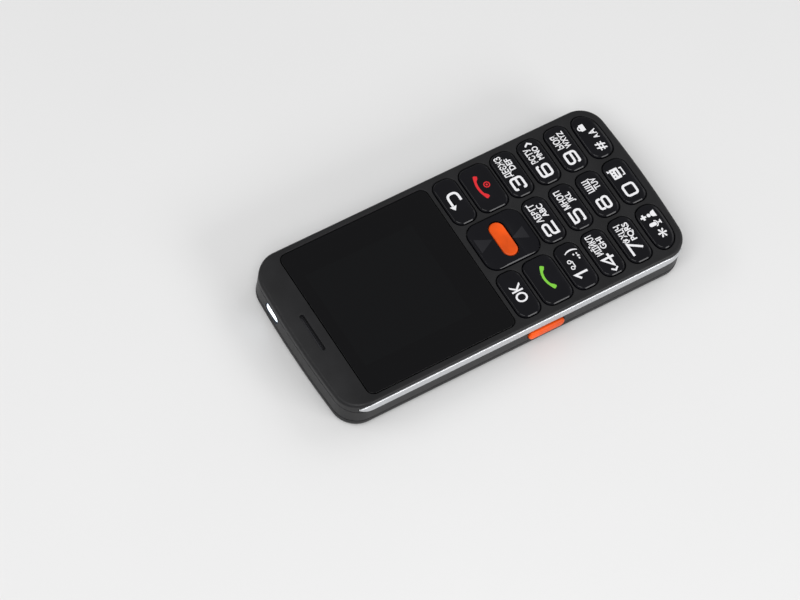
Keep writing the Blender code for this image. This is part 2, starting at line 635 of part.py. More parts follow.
def rear_housing():
    rear = slab("rear_housing", body_outline(0), REAR_BOTTOM, REAR_TOP, dark_plastic)
    floor = REAR_BOTTOM + REAR_FLOOR
    cut(rear, slab("rear_hollow", body_outline(REAR_WALL), floor, REAR_TOP + OVERRUN))
    bay_grow = 2 * (GAP + BAY_WALL)
    bay = rounded_rectangle(BATTERY_WIDTH + bay_grow, BATTERY_LENGTH + bay_grow, BATTERY_CORNER)
    join(rear, slab("battery_bay", bay, REAR_BOTTOM + REAR_FLOOR / 2, BAY_TOP, at=(0, BATTERY_Y)))
    for name, x, y, _ in screw_places():
        foot = REAR_BOTTOM + REAR_FLOOR / 2
        join(rear, cylinder(f"rear_boss_{name}", REAR_BOSS_RADIUS, foot, PARTS_TOP, (x, y)))
    room = rounded_rectangle(BATTERY_WIDTH + 2 * GAP, BATTERY_LENGTH + 2 * GAP, BATTERY_CORNER)
    cut(rear, slab("bay_room", room, REAR_BOTTOM - OVERRUN, BATTERY_TOP + GAP, at=(0, BATTERY_Y)))
    contact_x = span(0, CONTACT_WIDTH + 2 * GAP)
    contact_y = (BATTERY_END, BATTERY_END + GAP + BAY_WALL + OVERRUN)
    cut(rear, box("contact_opening", contact_x, contact_y, (floor, BAY_TOP + OVERRUN)))
    for name, x, y, _ in screw_places():
        low, head_room, high = REAR_BOTTOM - OVERRUN, HEAD_TOP + GAP, PARTS_TOP + OVERRUN
        cut(rear, cylinder(f"counterbore_{name}", COUNTERBORE_RADIUS, low, head_room, (x, y)))
        cut(rear, cylinder(f"rear_bore_{name}", BORE_RADIUS, head_room - SEAT, high, (x, y)))
    cut(rear, floor_window("sim_window_a", SIM_WIDTH, SIM_LENGTH, (-SIM_X, SIM_Y)))
    cut(rear, floor_window("sim_window_b", SIM_WIDTH, SIM_LENGTH, (SIM_X, SIM_Y)))
    cut(rear, floor_window("memory_window", MEMORY_WIDTH, MEMORY_LENGTH, MEMORY_PLACE))
    for number, x in enumerate(evenly(SOUND_SLOTS, SOUND_SLOT_PITCH)):
        slot = rounded_rectangle(SOUND_SLOT_WIDTH, SOUND_SLOT_LENGTH, SOUND_SLOT_WIDTH / 2)
        place = (LOUDSPEAKER_X + x, LOUDSPEAKER_Y)
        cut(rear, slab(f"rear_sound_slot_{number}", slot, REAR_BOTTOM - OVERRUN, floor + SEAT, at=place))
    wall_openings(rear)


def wall_openings(rear):
    """Openings in the rear housing's walls for the side key, the torch, the sockets and the microphone."""
    grow = 2 * KEY_CLEARANCE
    side_key_hole = rounded_rectangle(SIDE_KEY_LENGTH + grow, SIDE_KEY_HEIGHT + grow, SIDE_KEY_CORNER)
    place = (SIDE_KEY_Y, PARTS_MIDDLE)
    inner = REAR_WALL - HALF_WIDTH
    cut(rear, slab("side_key_hole", side_key_hole, -HALF_WIDTH - OVERRUN, inner + SEAT, at=place, axis="X"))
    torch = rounded_rectangle(TORCH_WIDTH + 2 * GAP, TORCH_HEIGHT + 2 * GAP, TORCH_HEIGHT / 2 + GAP)
    place = (TORCH_X, PARTS_MIDDLE)
    cut(rear, slab("torch_hole", torch, torch_back() - GAP, HALF_LENGTH + OVERRUN, at=place, axis="Y"))
    usb = rounded_rectangle(USB_WIDTH + 2 * GAP, USB_HEIGHT + 2 * GAP, USB_CORNER + GAP)
    place = (0, PARTS_TOP - USB_HEIGHT / 2)
    low = -HALF_LENGTH - OVERRUN
    cut(rear, slab("usb_hole", usb, low, REAR_WALL + SEAT - HALF_LENGTH, at=place, axis="Y"))
    nose = HEADSET_NOSE_RADIUS + GAP
    high = SEAT - end_y(abs(HEADSET_X) + HEADSET_WIDTH / 2, REAR_WALL)
    cut(rear, cylinder("headset_hole", nose, low, high, (HEADSET_X, PARTS_MIDDLE), axis="Y"))
    headset_x = span(HEADSET_X, HEADSET_WIDTH + 2 * GAP)
    headset_y = (-headset_front() - GAP, headset_back() + GAP)
    headset_z = (REAR_BOTTOM - OVERRUN, REAR_BOTTOM + REAR_FLOOR + SEAT)
    cut(rear, box("headset_room", headset_x, headset_y, headset_z))
    place = (MICROPHONE_X, PARTS_TOP - MICROPHONE_HEIGHT / 2)
    cut(rear, cylinder("microphone_hole", MICROPHONE_HOLE_RADIUS, low, high, place, axis="Y"))


def headset_front():
    """How far from the middle the flat front of the headset socket lies, inside the bowed end wall."""
    return end_y(abs(HEADSET_X) + HEADSET_WIDTH / 2, REAR_WALL) - GAP


def headset_back():
    """Where the back of the headset socket lies, short of the battery bay."""
    return BAY_LOW - HEADSET_TO_BAY


def torch_back():
    """How far from the middle the inner face of the torch lens lies."""
    return end_y(TORCH_X + TORCH_WIDTH / 2, 0) - TORCH_DEPTH


def front_housing():
    front = slab("front_housing", body_outline(0), FRONT_BOTTOM, FACE, dark_plastic, round_top=FACE_EDGE)
    for name, side in (("left", -1), ("right", 1)):
        channel = band_outline(side, -OVERRUN, CHANNEL_INSET, extra=GAP)
        cut(front, slab(f"channel_{name}", channel, FRONT_BOTTOM - OVERRUN, BAND_TOP + GAP))
    cavity = body_outline(CAVITY_INSET)
    cut(front, slab("front_hollow", cavity, FRONT_BOTTOM - OVERRUN, LEDGE_BOTTOM))
    keypad_room = clipped(cavity, below(KEYPAD_END + GAP))
    cut(front, slab("keypad_room", keypad_room, LEDGE_BOTTOM - SEAT, WEB_BOTTOM))
    for name, x, y, roof in screw_places():
        join(front, cylinder(f"front_boss_{name}", FRONT_BOSS_RADIUS, DOME_BOTTOM, roof + SEAT, (x, y)))
    for name, x, y, _ in screw_places():
        low, high = DOME_BOTTOM - OVERRUN, SHANK_TOP + GAP
        cut(front, cylinder(f"front_bore_{name}", BORE_RADIUS, low, high, (x, y)))
    for name, x, y, length in key_places():
        outline = key_outline(x, y, length, KEY_CLEARANCE, KEY_CLEARANCE)
        cut(front, slab(f"opening_{name}", outline, WEB_BOTTOM - SEAT, FACE + OVERRUN, at=(x, y)))
    pad_hole = pad_outline(KEY_CLEARANCE)
    cut(front, slab("pad_opening", pad_hole, WEB_BOTTOM - SEAT, FACE + OVERRUN, at=(0, PAD_Y)))
    recess = rounded_rectangle(WINDOW_WIDTH + 2 * GAP, WINDOW_LENGTH + 2 * GAP, WINDOW_CORNER + GAP)
    cut(front, slab("window_recess", recess, LEDGE_TOP, FACE + OVERRUN, at=(0, WINDOW_Y)))
    display = rounded_rectangle(DISPLAY_WIDTH + 2 * GAP, DISPLAY_LENGTH + 2 * GAP, DISPLAY_CORNER)
    cut(front, slab("display_opening", display, LEDGE_BOTTOM - SEAT, LEDGE_TOP + SEAT, at=(0, DISPLAY_Y)))
    cut(front, end_slope("end_slope"))
    slot = rounded_rectangle(EAR_SLOT_WIDTH, EAR_SLOT_LENGTH, EAR_SLOT_LENGTH / 2)
    cut(front, slab("earpiece_slot", slot, LEDGE_BOTTOM - SEAT, FACE + OVERRUN, at=(0, EAR_Y)))
    pocket = rounded_rectangle(GRILLE_WIDTH + 2 * GAP, GRILLE_LENGTH + 2 * GAP, GRILLE_LENGTH / 2)
    pocket_top = LEDGE_BOTTOM + GRILLE_THICKNESS + GAP
    cut(front, slab("grille_pocket", pocket, LEDGE_BOTTOM - SEAT, pocket_top, at=(0, EAR_Y)))


def end_slope(name):
    """What is cut away where the face falls to the top end: a curve that starts at the window's end."""
    start = WINDOW_START + 2 * GAP
    run = HALF_LENGTH - start
    curve = []
    for step in range(-1, SLOPE_STEPS + 2):
        share = step / SLOPE_STEPS
        fall = END_LINEAR_SHARE * share + (1 - END_LINEAR_SHARE) * share * abs(share)
        curve.append((start + run * share, FACE - END_DROP * fall))
    outline = curve + [(curve[-1][0], FACE + OVERRUN), (curve[0][0], FACE + OVERRUN)]
    return slab(name, outline, -HALF_WIDTH - OVERRUN, HALF_WIDTH + OVERRUN, axis="X")


def side_bands():
    for name, side in (("left_side_band", -1), ("right_side_band", 1)):
        outline = band_outline(side, -BAND_PROUD, BAND_THICKNESS)
        slab(name, outline, FRONT_BOTTOM, BAND_TOP, silver, round_top=BAND_EDGE)


def display():
    outline = rounded_rectangle(WINDOW_WIDTH, WINDOW_LENGTH, WINDOW_CORNER)
    slab("display_window", outline, WINDOW_LOW, FACE, window_plastic, at=(0, WINDOW_Y))
    frame_outline = rounded_rectangle(DISPLAY_WIDTH, DISPLAY_LENGTH, DISPLAY_CORNER)
    frame = slab("lcd_frame", frame_outline, DOME_BOTTOM, LEDGE_TOP, tin, at=(0, DISPLAY_Y))
    room_width = DISPLAY_WIDTH - 2 * DISPLAY_FRAME_WALL
    room_length = DISPLAY_LENGTH - 2 * DISPLAY_FRAME_WALL
    room = rounded_rectangle(room_width, room_length, DISPLAY_CORNER)
    tray_floor = DOME_BOTTOM + DISPLAY_FRAME_FLOOR
    cut(frame, slab("lcd_room", room, tray_floor, LEDGE_TOP + OVERRUN, at=(0, DISPLAY_Y)))
    panel = rounded_rectangle(room_width - 2 * GAP, room_length - 2 * GAP, DISPLAY_CORNER)
    slab("lcd_panel", panel, tray_floor + GAP, LEDGE_TOP - GAP, display_glass, at=(0, DISPLAY_Y))


def earpiece():
    plate = rounded_rectangle(GRILLE_WIDTH, GRILLE_LENGTH, GRILLE_LENGTH / 2)
    top = LEDGE_BOTTOM + GRILLE_THICKNESS
    grille = slab("earpiece_grille", plate, LEDGE_BOTTOM, top, tin, at=(0, EAR_Y))
    for number, x in enumerate(evenly(GRILLE_HOLES, GRILLE_HOLE_PITCH)):
        low, high = LEDGE_BOTTOM - OVERRUN, top + OVERRUN
        cut(grille, cylinder(f"grille_hole_{number}", GRILLE_HOLE_RADIUS, low, high, (x, EAR_Y), steps=6))
    outline = rounded_rectangle(RECEIVER_WIDTH, RECEIVER_LENGTH, RECEIVER_CORNER)
    slab("earpiece_receiver", outline, DOME_BOTTOM, LEDGE_BOTTOM - GAP, inner_plastic, at=(0, EAR_Y))


def main_board():
    board = slab("main_board", body_outline(BOARD_INSET), BOARD_BOTTOM, BOARD_TOP, board_green)
    low, high = BOARD_BOTTOM - OVERRUN, BOARD_TOP + OVERRUN
    for name, x, y, _ in screw_places():
        cut(board, cylinder(f"board_hole_{name}", BORE_RADIUS, low, high, (x, y)))
    headset_x = span(HEADSET_X, HEADSET_WIDTH + 2 * GAP)
    headset_y = (-HALF_LENGTH, headset_back() + GAP)
    cut(board, box("board_notch", headset_x, headset_y, (low, high)))


def keypad_layers():
    keypad = clipped(body_outline(BOARD_INSET), below(KEYPAD_END))
    sheet = slab("dome_sheet", keypad, DOME_BOTTOM, DOME_BOTTOM + DOME_SHEET_THICKNESS, foil)
    places = [(name, x, y) for name, x, y, _ in key_places()] + [("bar", 0, PAD_Y)]
    for name, x, y in places:
        foot = DOME_BOTTOM + DOME_SHEET_THICKNESS / 2
        dome = cylinder(
            f"dome_{name}", DOME_RADIUS, foot, DOME_TOP, (x, y), steps=DOME_SIDES, tip=DOME_TOP_RADIUS
        )
        join(sheet, dome)
    mat = slab("keypad_mat", keypad, MAT_BOTTOM, MAT_TOP, rubber)
    for name, x, y, _ in screw_places()[:2]:
        hole = FRONT_BOSS_RADIUS + GAP
        cut(sheet, cylinder(f"sheet_hole_{name}", hole, DOME_BOTTOM - OVERRUN, DOME_TOP + OVERRUN, (x, y)))
        cut(mat, cylinder(f"mat_hole_{name}", hole, MAT_BOTTOM - OVERRUN, MAT_TOP + OVERRUN, (x, y)))


def keys():
    for name, x, y, length in key_places():
        cap = slab(
            name, key_outline(x, y, length, 0, 0), FLANGE_TOP - FLANGE_THICKNESS / 2, KEY_TOP, key_plastic,
            round_top=KEY_TOP_ROUND, steps=1, at=(x, y),
        )
        flange = key_outline(x, y, length, FLANGE_SIDE_OVERHANG, FLANGE_END_OVERHANG)
        join(cap, slab(f"flange_{name}", flange, FLANGE_BOTTOM, FLANGE_TOP, at=(x, y)))


def navigation_pad():
    """A pad that tips up and down about the line through its middle, round a bar that is pressed."""
    pad = slab(
        "nav_rocker", pad_outline(0), FLANGE_BOTTOM + FLANGE_THICKNESS / 2, KEY_TOP, key_plastic,
        round_top=KEY_TOP_ROUND, at=(0, PAD_Y),
    )
    pad_flange = rounded_rectangle(
        PAD_WIDTH + 2 * FLANGE_SIDE_OVERHANG, PAD_LENGTH - 2 * KEY_CORNER, KEY_CORNER
    )
    join(pad, slab("pad_flange", pad_flange, FLANGE_BOTTOM, FLANGE_TOP, at=(0, PAD_Y)))
    bar_hole = slab(
        "bar_hole", bar_outline(KEY_CLEARANCE), FLANGE_BOTTOM - OVERRUN, KEY_TOP + OVERRUN, at=(0, PAD_Y)
    )
    under = bar_outline(BAR_FLANGE + GAP)
    flange_top = FLANGE_BOTTOM + BAR_FLANGE_THICKNESS
    cut(pad, bar_hole)
    cut(pad, slab("bar_room", under, FLANGE_BOTTOM - OVERRUN, flange_top + GAP, at=(0, PAD_Y)))
    for number, side in enumerate((-1, 1)):
        lift = KEY_TOP - PAD_SCOOP_DEPTH + PAD_SCOOP_RADIUS
        place = (PAD_Y + side * PAD_SCOOP_FROM_MIDDLE, lift)
        reach = PAD_WIDTH / 2 + OVERRUN
        cut(pad, cylinder(f"scoop_{number}", PAD_SCOOP_RADIUS, -reach, reach, place, axis="X", steps=48))
    bar = slab(
        "nav_bar", bar_outline(0), FLANGE_BOTTOM + BAR_FLANGE_THICKNESS / 2, KEY_TOP + BAR_PROUD, orange,
        round_top=BAR_TOP_ROUND, at=(0, PAD_Y),
    )
    join(bar, slab("bar_flange", bar_outline(BAR_FLANGE), FLANGE_BOTTOM, flange_top, at=(0, PAD_Y)))


def side_key():
    """The orange key, whose ears hold it behind the left wall, and the switch that it presses."""
    inner_wall = REAR_WALL - HALF_WIDTH
    place = (SIDE_KEY_Y, PARTS_MIDDLE)
    cap_outline = rounded_rectangle(SIDE_KEY_LENGTH, SIDE_KEY_HEIGHT, SIDE_KEY_CORNER)
    cap_inner = inner_wall - SIDE_KEY_TRAVEL - SIDE_KEY_EAR_THICKNESS / 2
    # The outline's thickness grows towards the phone's inside, so the outer rim is the low one
    key = slab(
        "side_key", cap_outline, -HALF_WIDTH - SIDE_KEY_PROUD, cap_inner, orange,
        round_low=SIDE_KEY_ROUND, at=place, axis="X",
    )
    stem_low = REAR_BOTTOM + REAR_FLOOR + GAP
    stem_high = PARTS_TOP
    stem_z = (stem_low + stem_high) / 2
    stem_inner = inner_wall + GAP + SIDE_KEY_EAR_THICKNESS
    stem_y = span(SIDE_KEY_Y, SIDE_KEY_LENGTH - 2 * SIDE_KEY_STEM_INSET)
    stem = box("side_key_stem", (cap_inner - SEAT, stem_inner), stem_y, (stem_low, stem_high))
    ears_y = span(SIDE_KEY_Y, SIDE_KEY_LENGTH + 2 * SIDE_KEY_EAR)
    ears = box("side_key_ears", (inner_wall + GAP, stem_inner), ears_y, (stem_low, stem_high))
    join(key, stem, ears)
    face = stem_inner + SIDE_KEY_TRAVEL + GAP
    body_x = (face + SIDE_SWITCH_ACTUATOR, face + SIDE_SWITCH_ACTUATOR + SIDE_SWITCH_DEPTH)
    body_y = span(SIDE_KEY_Y, SIDE_SWITCH_LENGTH)
    switch = box("side_key_switch", body_x, body_y, (stem_low, stem_high), tin)
    knob_y = span(SIDE_KEY_Y, SIDE_SWITCH_ACTUATOR_LENGTH)
    knob_z = span(stem_z, SIDE_SWITCH_ACTUATOR_HEIGHT)
    join(switch, box("switch_actuator", (face, body_x[0] + SEAT), knob_y, knob_z))


def battery():
    outline = rounded_rectangle(BATTERY_WIDTH, BATTERY_LENGTH, BATTERY_CORNER)
    slab(
        "battery", outline, BATTERY_BOTTOM, BATTERY_TOP, label,
        round_top=BATTERY_EDGE, round_low=BATTERY_EDGE, steps=1, at=(0, BATTERY_Y),
    )
    start = BATTERY_END + GAP
    block = box(
        "battery_contact_block", span(0, CONTACT_WIDTH), (start, start + CONTACT_DEPTH),
        (PARTS_TOP - CONTACT_HEIGHT, PARTS_TOP), inner_plastic,
    )
    for number, x in enumerate(evenly(3, CONTACT_SLOT_PITCH)):
        slot_y = (start - OVERRUN, start + CONTACT_SLOT_DEPTH)
        slot_z = (PARTS_TOP - CONTACT_HEIGHT - OVERRUN, PARTS_TOP - CONTACT_SLOT_DEPTH)
        cut(block, box(f"contact_slot_{number}", span(x, CONTACT_SLOT_WIDTH), slot_y, slot_z))


def torch():
    lens = rounded_rectangle(TORCH_WIDTH, TORCH_HEIGHT, TORCH_HEIGHT / 2, steps=4)
    place = (TORCH_X, PARTS_MIDDLE)
    slab(
        "torch_lens", lens, torch_back(), torch_back() + TORCH_DEPTH, lens_plastic,
        round_top=TORCH_ROUND, at=place, axis="Y",
    )
    back = torch_back() - GAP
    led_z = (PARTS_TOP - TORCH_LED_HEIGHT, PARTS_TOP)
    box("torch_led", span(TORCH_X, TORCH_LED_WIDTH), (back - TORCH_LED_DEPTH, back), led_z, led_yellow)


def sockets():
    usb = rounded_rectangle(USB_WIDTH, USB_HEIGHT, USB_CORNER)
    mouth = USB_SUNK - HALF_LENGTH
    place = (0, PARTS_TOP - USB_HEIGHT / 2)
    shell = slab("usb_socket", usb, mouth, mouth + USB_DEPTH, tin, at=place, axis="Y")
    room = rounded_rectangle(USB_WIDTH - 2 * USB_WALL, USB_HEIGHT - 2 * USB_WALL, USB_CORNER - USB_WALL)
    cut(shell, slab("usb_room", room, mouth - OVERRUN, mouth + USB_DEPTH - USB_WALL, at=place, axis="Y"))
    front = -headset_front()
    headset_z = span(PARTS_MIDDLE, HEADSET_HEIGHT)
    body = box(
        "headset_socket", span(HEADSET_X, HEADSET_WIDTH), (front, headset_back()), headset_z,
        inner_plastic,
    )
    place = (HEADSET_X, PARTS_MIDDLE)
    nose = front - HEADSET_NOSE_LENGTH
    join(body, cylinder("headset_nose", HEADSET_NOSE_RADIUS, nose, front + SEAT, place, axis="Y"))
    bore_end = headset_back() - HEADSET_BORE_END_WALL
    cut(body, cylinder("headset_bore", HEADSET_BORE_RADIUS, nose - OVERRUN, bore_end, place, axis="Y"))
    place = (MICROPHONE_X, MICROPHONE_FROM_END - HALF_LENGTH)
    low = PARTS_TOP - MICROPHONE_HEIGHT
    cylinder("microphone", MICROPHONE_RADIUS, low, PARTS_TOP, place, tin)


def card_holder(name, width, length, place):
    """A pressed metal cage that a card slides into, open towards the battery."""
    low = PARTS_TOP - CARD_HOLDER_HEIGHT
    holder = slab(name, rounded_rectangle(width, length, SHIELD_CORNER / 2), low, PARTS_TOP, tin, at=place)
    inside_x = span(place[0], width - 4 * CARD_WALL)
    inside_y = (place[1] - length / 2 - OVERRUN, place[1] + length / 2 - 2 * CARD_WALL)
    cut(holder, box(f"{name}_room", inside_x, inside_y, (low + CARD_WALL, PARTS_TOP - CARD_WALL)))


def shield(name, x_range, y_range):
    """A pressed metal lid over a group of chips."""
    low = PARTS_TOP - SHIELD_HEIGHT
    width, length = x_range[1] - x_range[0], y_range[1] - y_range[0]
    place = (sum(x_range) / 2, sum(y_range) / 2)
    outline = rounded_rectangle(width, length, SHIELD_CORNER)
    lid = slab(name, outline, low, PARTS_TOP, tin, round_low=SHIELD_WALL, steps=1, at=place)
    inner = rounded_rectangle(width - 2 * SHIELD_WALL, length - 2 * SHIELD_WALL, SHIELD_CORNER / 2)
    cut(lid, slab(f"{name}_room", inner, low + SHIELD_WALL, PARTS_TOP + OVERRUN, at=place))


def board_parts():
    card_holder("sim_holder_a", SIM_WIDTH, SIM_LENGTH, (-SIM_X, SIM_Y))
    card_holder("sim_holder_b", SIM_WIDTH, SIM_LENGTH, (SIM_X, SIM_Y))
    card_holder("memory_card_holder", MEMORY_WIDTH, MEMORY_LENGTH, MEMORY_PLACE)
    memory_side = MEMORY_PLACE[0] + MEMORY_WIDTH / 2
    processor_x = (memory_side + PROCESSOR_FROM_MEMORY, HALF_WIDTH - PROCESSOR_FROM_SIDE)
    shield("processor_shield", processor_x, (SECOND_ROW, PROCESSOR_HIGH))
    radio_x = (RADIO_FROM_SIDE - HALF_WIDTH, LOUDSPEAKER_X - LOUDSPEAKER_WIDTH / 2 - RADIO_TO_LOUDSPEAKER)
    shield("radio_shield", radio_x, (THIRD_ROW, TOP_SCREW_Y - REAR_BOSS_RADIUS - RADIO_TO_BOSS))
    floor = REAR_BOTTOM + REAR_FLOOR + GAP
    outline = rounded_rectangle(LOUDSPEAKER_WIDTH, LOUDSPEAKER_LENGTH, SHIELD_CORNER)
    place = (LOUDSPEAKER_X, LOUDSPEAKER_Y)
    speaker = slab("loudspeaker", outline, floor + LOUDSPEAKER_RISE, PARTS_TOP, inner_plastic, at=place)
    rim = rounded_rectangle(
        LOUDSPEAKER_WIDTH - 2 * LOUDSPEAKER_RIM, LOUDSPEAKER_LENGTH - 2 * LOUDSPEAKER_RIM, SHIELD_CORNER
    )
    join(speaker, slab("loudspeaker_cone", rim, floor, floor + LOUDSPEAKER_RISE + SEAT, at=place))
    motor_outline = rounded_rectangle(MOTOR_WIDTH, MOTOR_HEIGHT, MOTOR_HEIGHT / 2, steps=4)
    motor_low = LOUDSPEAKER_X + LOUDSPEAKER_WIDTH / 2 + MOTOR_FROM_LOUDSPEAKER
    motor_high = HALF_WIDTH - MOTOR_FROM_SIDE
    motor_place = (PROCESSOR_HIGH + MOTOR_FROM_PROCESSOR + MOTOR_WIDTH / 2, PARTS_TOP - MOTOR_HEIGHT / 2)
    slab("vibration_motor", motor_outline, motor_low, motor_high, tin, at=motor_place, axis="X")
    antenna_x = (ANTENNA_FROM_SIDE - HALF_WIDTH, TORCH_X - TORCH_WIDTH / 2 - ANTENNA_TO_TORCH)
    antenna_low = LOUDSPEAKER_Y + LOUDSPEAKER_LENGTH / 2 + ANTENNA_FROM_LOUDSPEAKER
    antenna_y = (antenna_low, end_y(-antenna_x[0], REAR_WALL) - ANTENNA_TO_WALL)
    antenna_z = (PARTS_TOP - ANTENNA_HEIGHT, PARTS_TOP)
    antenna = box("antenna", antenna_x, antenna_y, antenna_z, inner_plastic)
    for number, x in enumerate(evenly(3, (antenna_x[1] - antenna_x[0]) / 4)):
        notch_z = (antenna_z[0] - OVERRUN, antenna_z[0] + ANTENNA_NOTCH)
        notch_x = span(sum(antenna_x) / 2 + x, ANTENNA_NOTCH)
        notch_y = (antenna_y[0] - OVERRUN, antenna_y[1] + OVERRUN)
        cut(antenna, box(f"antenna_notch_{number}", notch_x, notch_y, notch_z))


def turned(name, profile, place, material):
    """A round piece from its half profile, read from the top of the axis down to the bottom."""
    mesh = bpy.data.meshes.new(name)
    shape = bmesh.new()
    verts = [shape.verts.new((radius, 0, height)) for radius, height in profile]
    for first, second in zip(verts, verts[1:]):
        shape.edges.new((first, second))
    shape.to_mesh(mesh)
    shape.free()
    piece = placed(name, mesh, material, (*place, 0), (0, 0, 0), phone)
    spin = piece.modifiers.new("turn", "SCREW")
    spin.steps = ROUND_STEPS
    spin.render_steps = ROUND_STEPS
    spin.use_merge_vertices = True
    spin.merge_threshold = WELD
    return piece


def screws():
    profile = [(0, SHANK_TOP), (SHANK_RADIUS, SHANK_TOP), (SHANK_RADIUS, HEAD_TOP), (HEAD_RADIUS, HEAD_TOP)]
    recess_top = HEAD_BOTTOM + HEAD_RECESS_DEPTH
    profile += [(HEAD_RADIUS, HEAD_BOTTOM), (HEAD_RECESS_RADIUS, HEAD_BOTTOM)]
    profile += [(HEAD_RECESS_RADIUS, recess_top), (0, recess_top)]
    for name, x, y, _ in screw_places():
        turned(f"screw_{name}", profile, (x, y), tin)


battery_cover()
rear_housing()
front_housing()
side_bands()
display()
earpiece()
main_board()
keypad_layers()
keys()
navigation_pad()
side_key()
battery()
torch()
sockets()
board_parts()
screws()
bpy.context.view_layer.update()
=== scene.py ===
import math

import bmesh
import bpy
from mathutils import Matrix, Vector


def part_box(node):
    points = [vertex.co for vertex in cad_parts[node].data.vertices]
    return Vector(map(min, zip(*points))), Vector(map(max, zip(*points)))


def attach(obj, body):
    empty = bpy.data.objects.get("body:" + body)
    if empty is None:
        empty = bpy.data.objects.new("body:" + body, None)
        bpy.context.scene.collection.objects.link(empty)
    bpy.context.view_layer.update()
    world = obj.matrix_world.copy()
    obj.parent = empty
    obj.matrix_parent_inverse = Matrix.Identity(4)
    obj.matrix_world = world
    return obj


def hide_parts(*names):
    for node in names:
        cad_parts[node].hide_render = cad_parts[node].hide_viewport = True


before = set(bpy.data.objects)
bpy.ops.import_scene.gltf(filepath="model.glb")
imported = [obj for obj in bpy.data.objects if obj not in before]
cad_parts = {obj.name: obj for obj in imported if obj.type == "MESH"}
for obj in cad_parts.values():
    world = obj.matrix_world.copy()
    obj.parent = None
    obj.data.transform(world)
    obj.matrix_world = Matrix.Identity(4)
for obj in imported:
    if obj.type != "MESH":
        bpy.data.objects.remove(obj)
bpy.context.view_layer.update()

# The phone's outline, seen from the front
HALF_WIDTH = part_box("battery_cover")[1].x
HALF_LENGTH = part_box("battery_cover")[1].y
CORNER_RADIUS = 0.0080
END_RADIUS = 0.350
CORNER_STEPS = 14
END_STEPS = 14
ROUND_STEPS = 5
SOFT_ANGLE = math.radians(38)
SHELL_SOFT_ANGLE = math.radians(32)
SAME_PLANE_ANGLE = math.radians(0.5)
SAME_POINT = 0.000001
PLAY = 0.0003
OVERRUN = 0.002
SHORTEST_EDGE = 0.00003
VOLUME_SLACK = 1.01
SMALLEST_VOLUME = 1e-12
CUT_TRIES = 4
FACE_UP = 0.9

# Battery cover
COVER_FILLET = 0.0024
COVER_WALL = 0.0013
COVER_FLOOR = 0.0013
COVER_INNER_FILLET = 0.0011
COVER_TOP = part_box("battery_cover")[1].z
SLOT_WIDTH = 0.0012
SLOT_LENGTH = 0.0070
SLOT_PITCH = 0.0026
SLOT_ROUND = 0.0002
SLOTS = 5
GRIP_LENGTH = 0.020
GRIP_WIDTH = 0.0009
GRIP_DEPTH = 0.0004
GRIP_PITCH = 0.0022
GRIPS = 5
GRIP_Y = -0.049

# Front housing
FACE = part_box("display_window")[1].z
FRONT_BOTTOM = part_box("front_housing")[0].z
FACE_ROUND = 0.0009
CAVITY_INSET = 0.00195
LEDGE_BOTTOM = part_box("earpiece_grille")[0].z
LEDGE_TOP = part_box("display_window")[0].z - PLAY
WEB_BOTTOM = 0.0121
WEB_ROUND = 0.0002
KEYPAD_END = -0.00045
SLOPE_START = 0.0532
SLOPE_DROP = 0.0022
SLOPE_LINEAR_SHARE = 0.35
SLOPE_STEPS = 14
SLOPE_ABOVE = 0.0120
SLOT_MOUTH_WIDTH = 0.0136
SLOT_MOUTH_LENGTH = 0.0013
SLOT_MOUTH_Y = 0.0566
BOSS_RADIUS = 0.00155
BOSS_BORE = 0.0010
DISPLAY_ROOM_CORNER = 0.0007

# Silver side bands
BAND_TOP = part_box("left_side_band")[1].z
BAND_THICKNESS = 0.0009
BAND_PROUD = 0.0003
BAND_ROUND = 0.0004
BAND_TOP_ANGLE = math.radians(28)
BAND_BOTTOM_ANGLE = math.radians(42)
BAND_TOP_TAPER = 0.0055
BAND_BOTTOM_TAPER = 0.0090
BAND_TIP = 0.08
BAND_STEPS = 8
TAPER_STEP = 0.0008

# Display window
WINDOW_CORNER = 0.0022
WINDOW_ROUND = 0.00015

# Keys
KEY_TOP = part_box("key_5")[1].z
KEY_CORNER = 0.0030
KEY_WIDTH = 0.0165
KEY_LENGTH = 0.0081
CALL_LENGTH = 0.0103
OK_LENGTH = 0.0080
KEY_EDGE_INSET = 0.00255
TRIMMED_KEY_SPACING = 0.0005
TRIMMED_KEY_ROUNDS = 14
KEY_PLAY = 0.00025
FLANGE_SIDE = 0.0003
FLANGE_END = 0.0004
FLANGE_THICKNESS = 0.0007
KEY_RIM = (
    (0.00003, 0.00010), (0.00008, 0.00010), (0.00022, 0.00022), (0.00010, 0.00008), (0.00010, 0.00003),
)
KEY_CROWN = ((0.0006, 0.00005), (0.0008, 0.00003))
NUB_PLACES = (-0.0070, 0.0068)
NUB_RADIUS = 0.00035
NUB_HEIGHT = 0.00016
PAD_TOP_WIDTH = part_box("nav_rocker")[1].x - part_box("nav_rocker")[0].x - 2 * FLANGE_SIDE
PAD_TOP_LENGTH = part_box("nav_rocker")[1].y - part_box("nav_rocker")[0].y
PAD_CORNER = 0.0040
PAD_SCOOP_RADIUS = 0.0300
PAD_SCOOP_DEPTH = 0.0002
PAD_SCOOP_FROM_MIDDLE = 0.0064
PAD_SCOOP_SIDES = 256
BAR_WIDTH = 0.0125
BAR_LENGTH = 0.0050
BAR_ROUND = 0.0006
BAR_FLANGE = 0.0006
BAR_FLANGE_THICKNESS = 0.0004
BAR_CROWN = ((0.0005, 0.00004), (0.0007, 0.00002))

# Side key and torch
SIDE_KEY_LENGTH = 0.0127
SIDE_KEY_CORNER = 0.0016
SIDE_KEY_ROUND = 0.0007
SIDE_KEY_EAR_THICKNESS = 0.0005
SIDE_KEY_CROWN = ((0.0005, 0.00004),)
LENS_ROUND = 0.0005
LENS_DOME = ((0.0004, 0.00010), (0.0004, 0.00006))

# Earpiece mesh
MESH_HOLE_RADIUS = 0.00020
MESH_PITCH = 0.0006
MESH_COLUMNS = 22

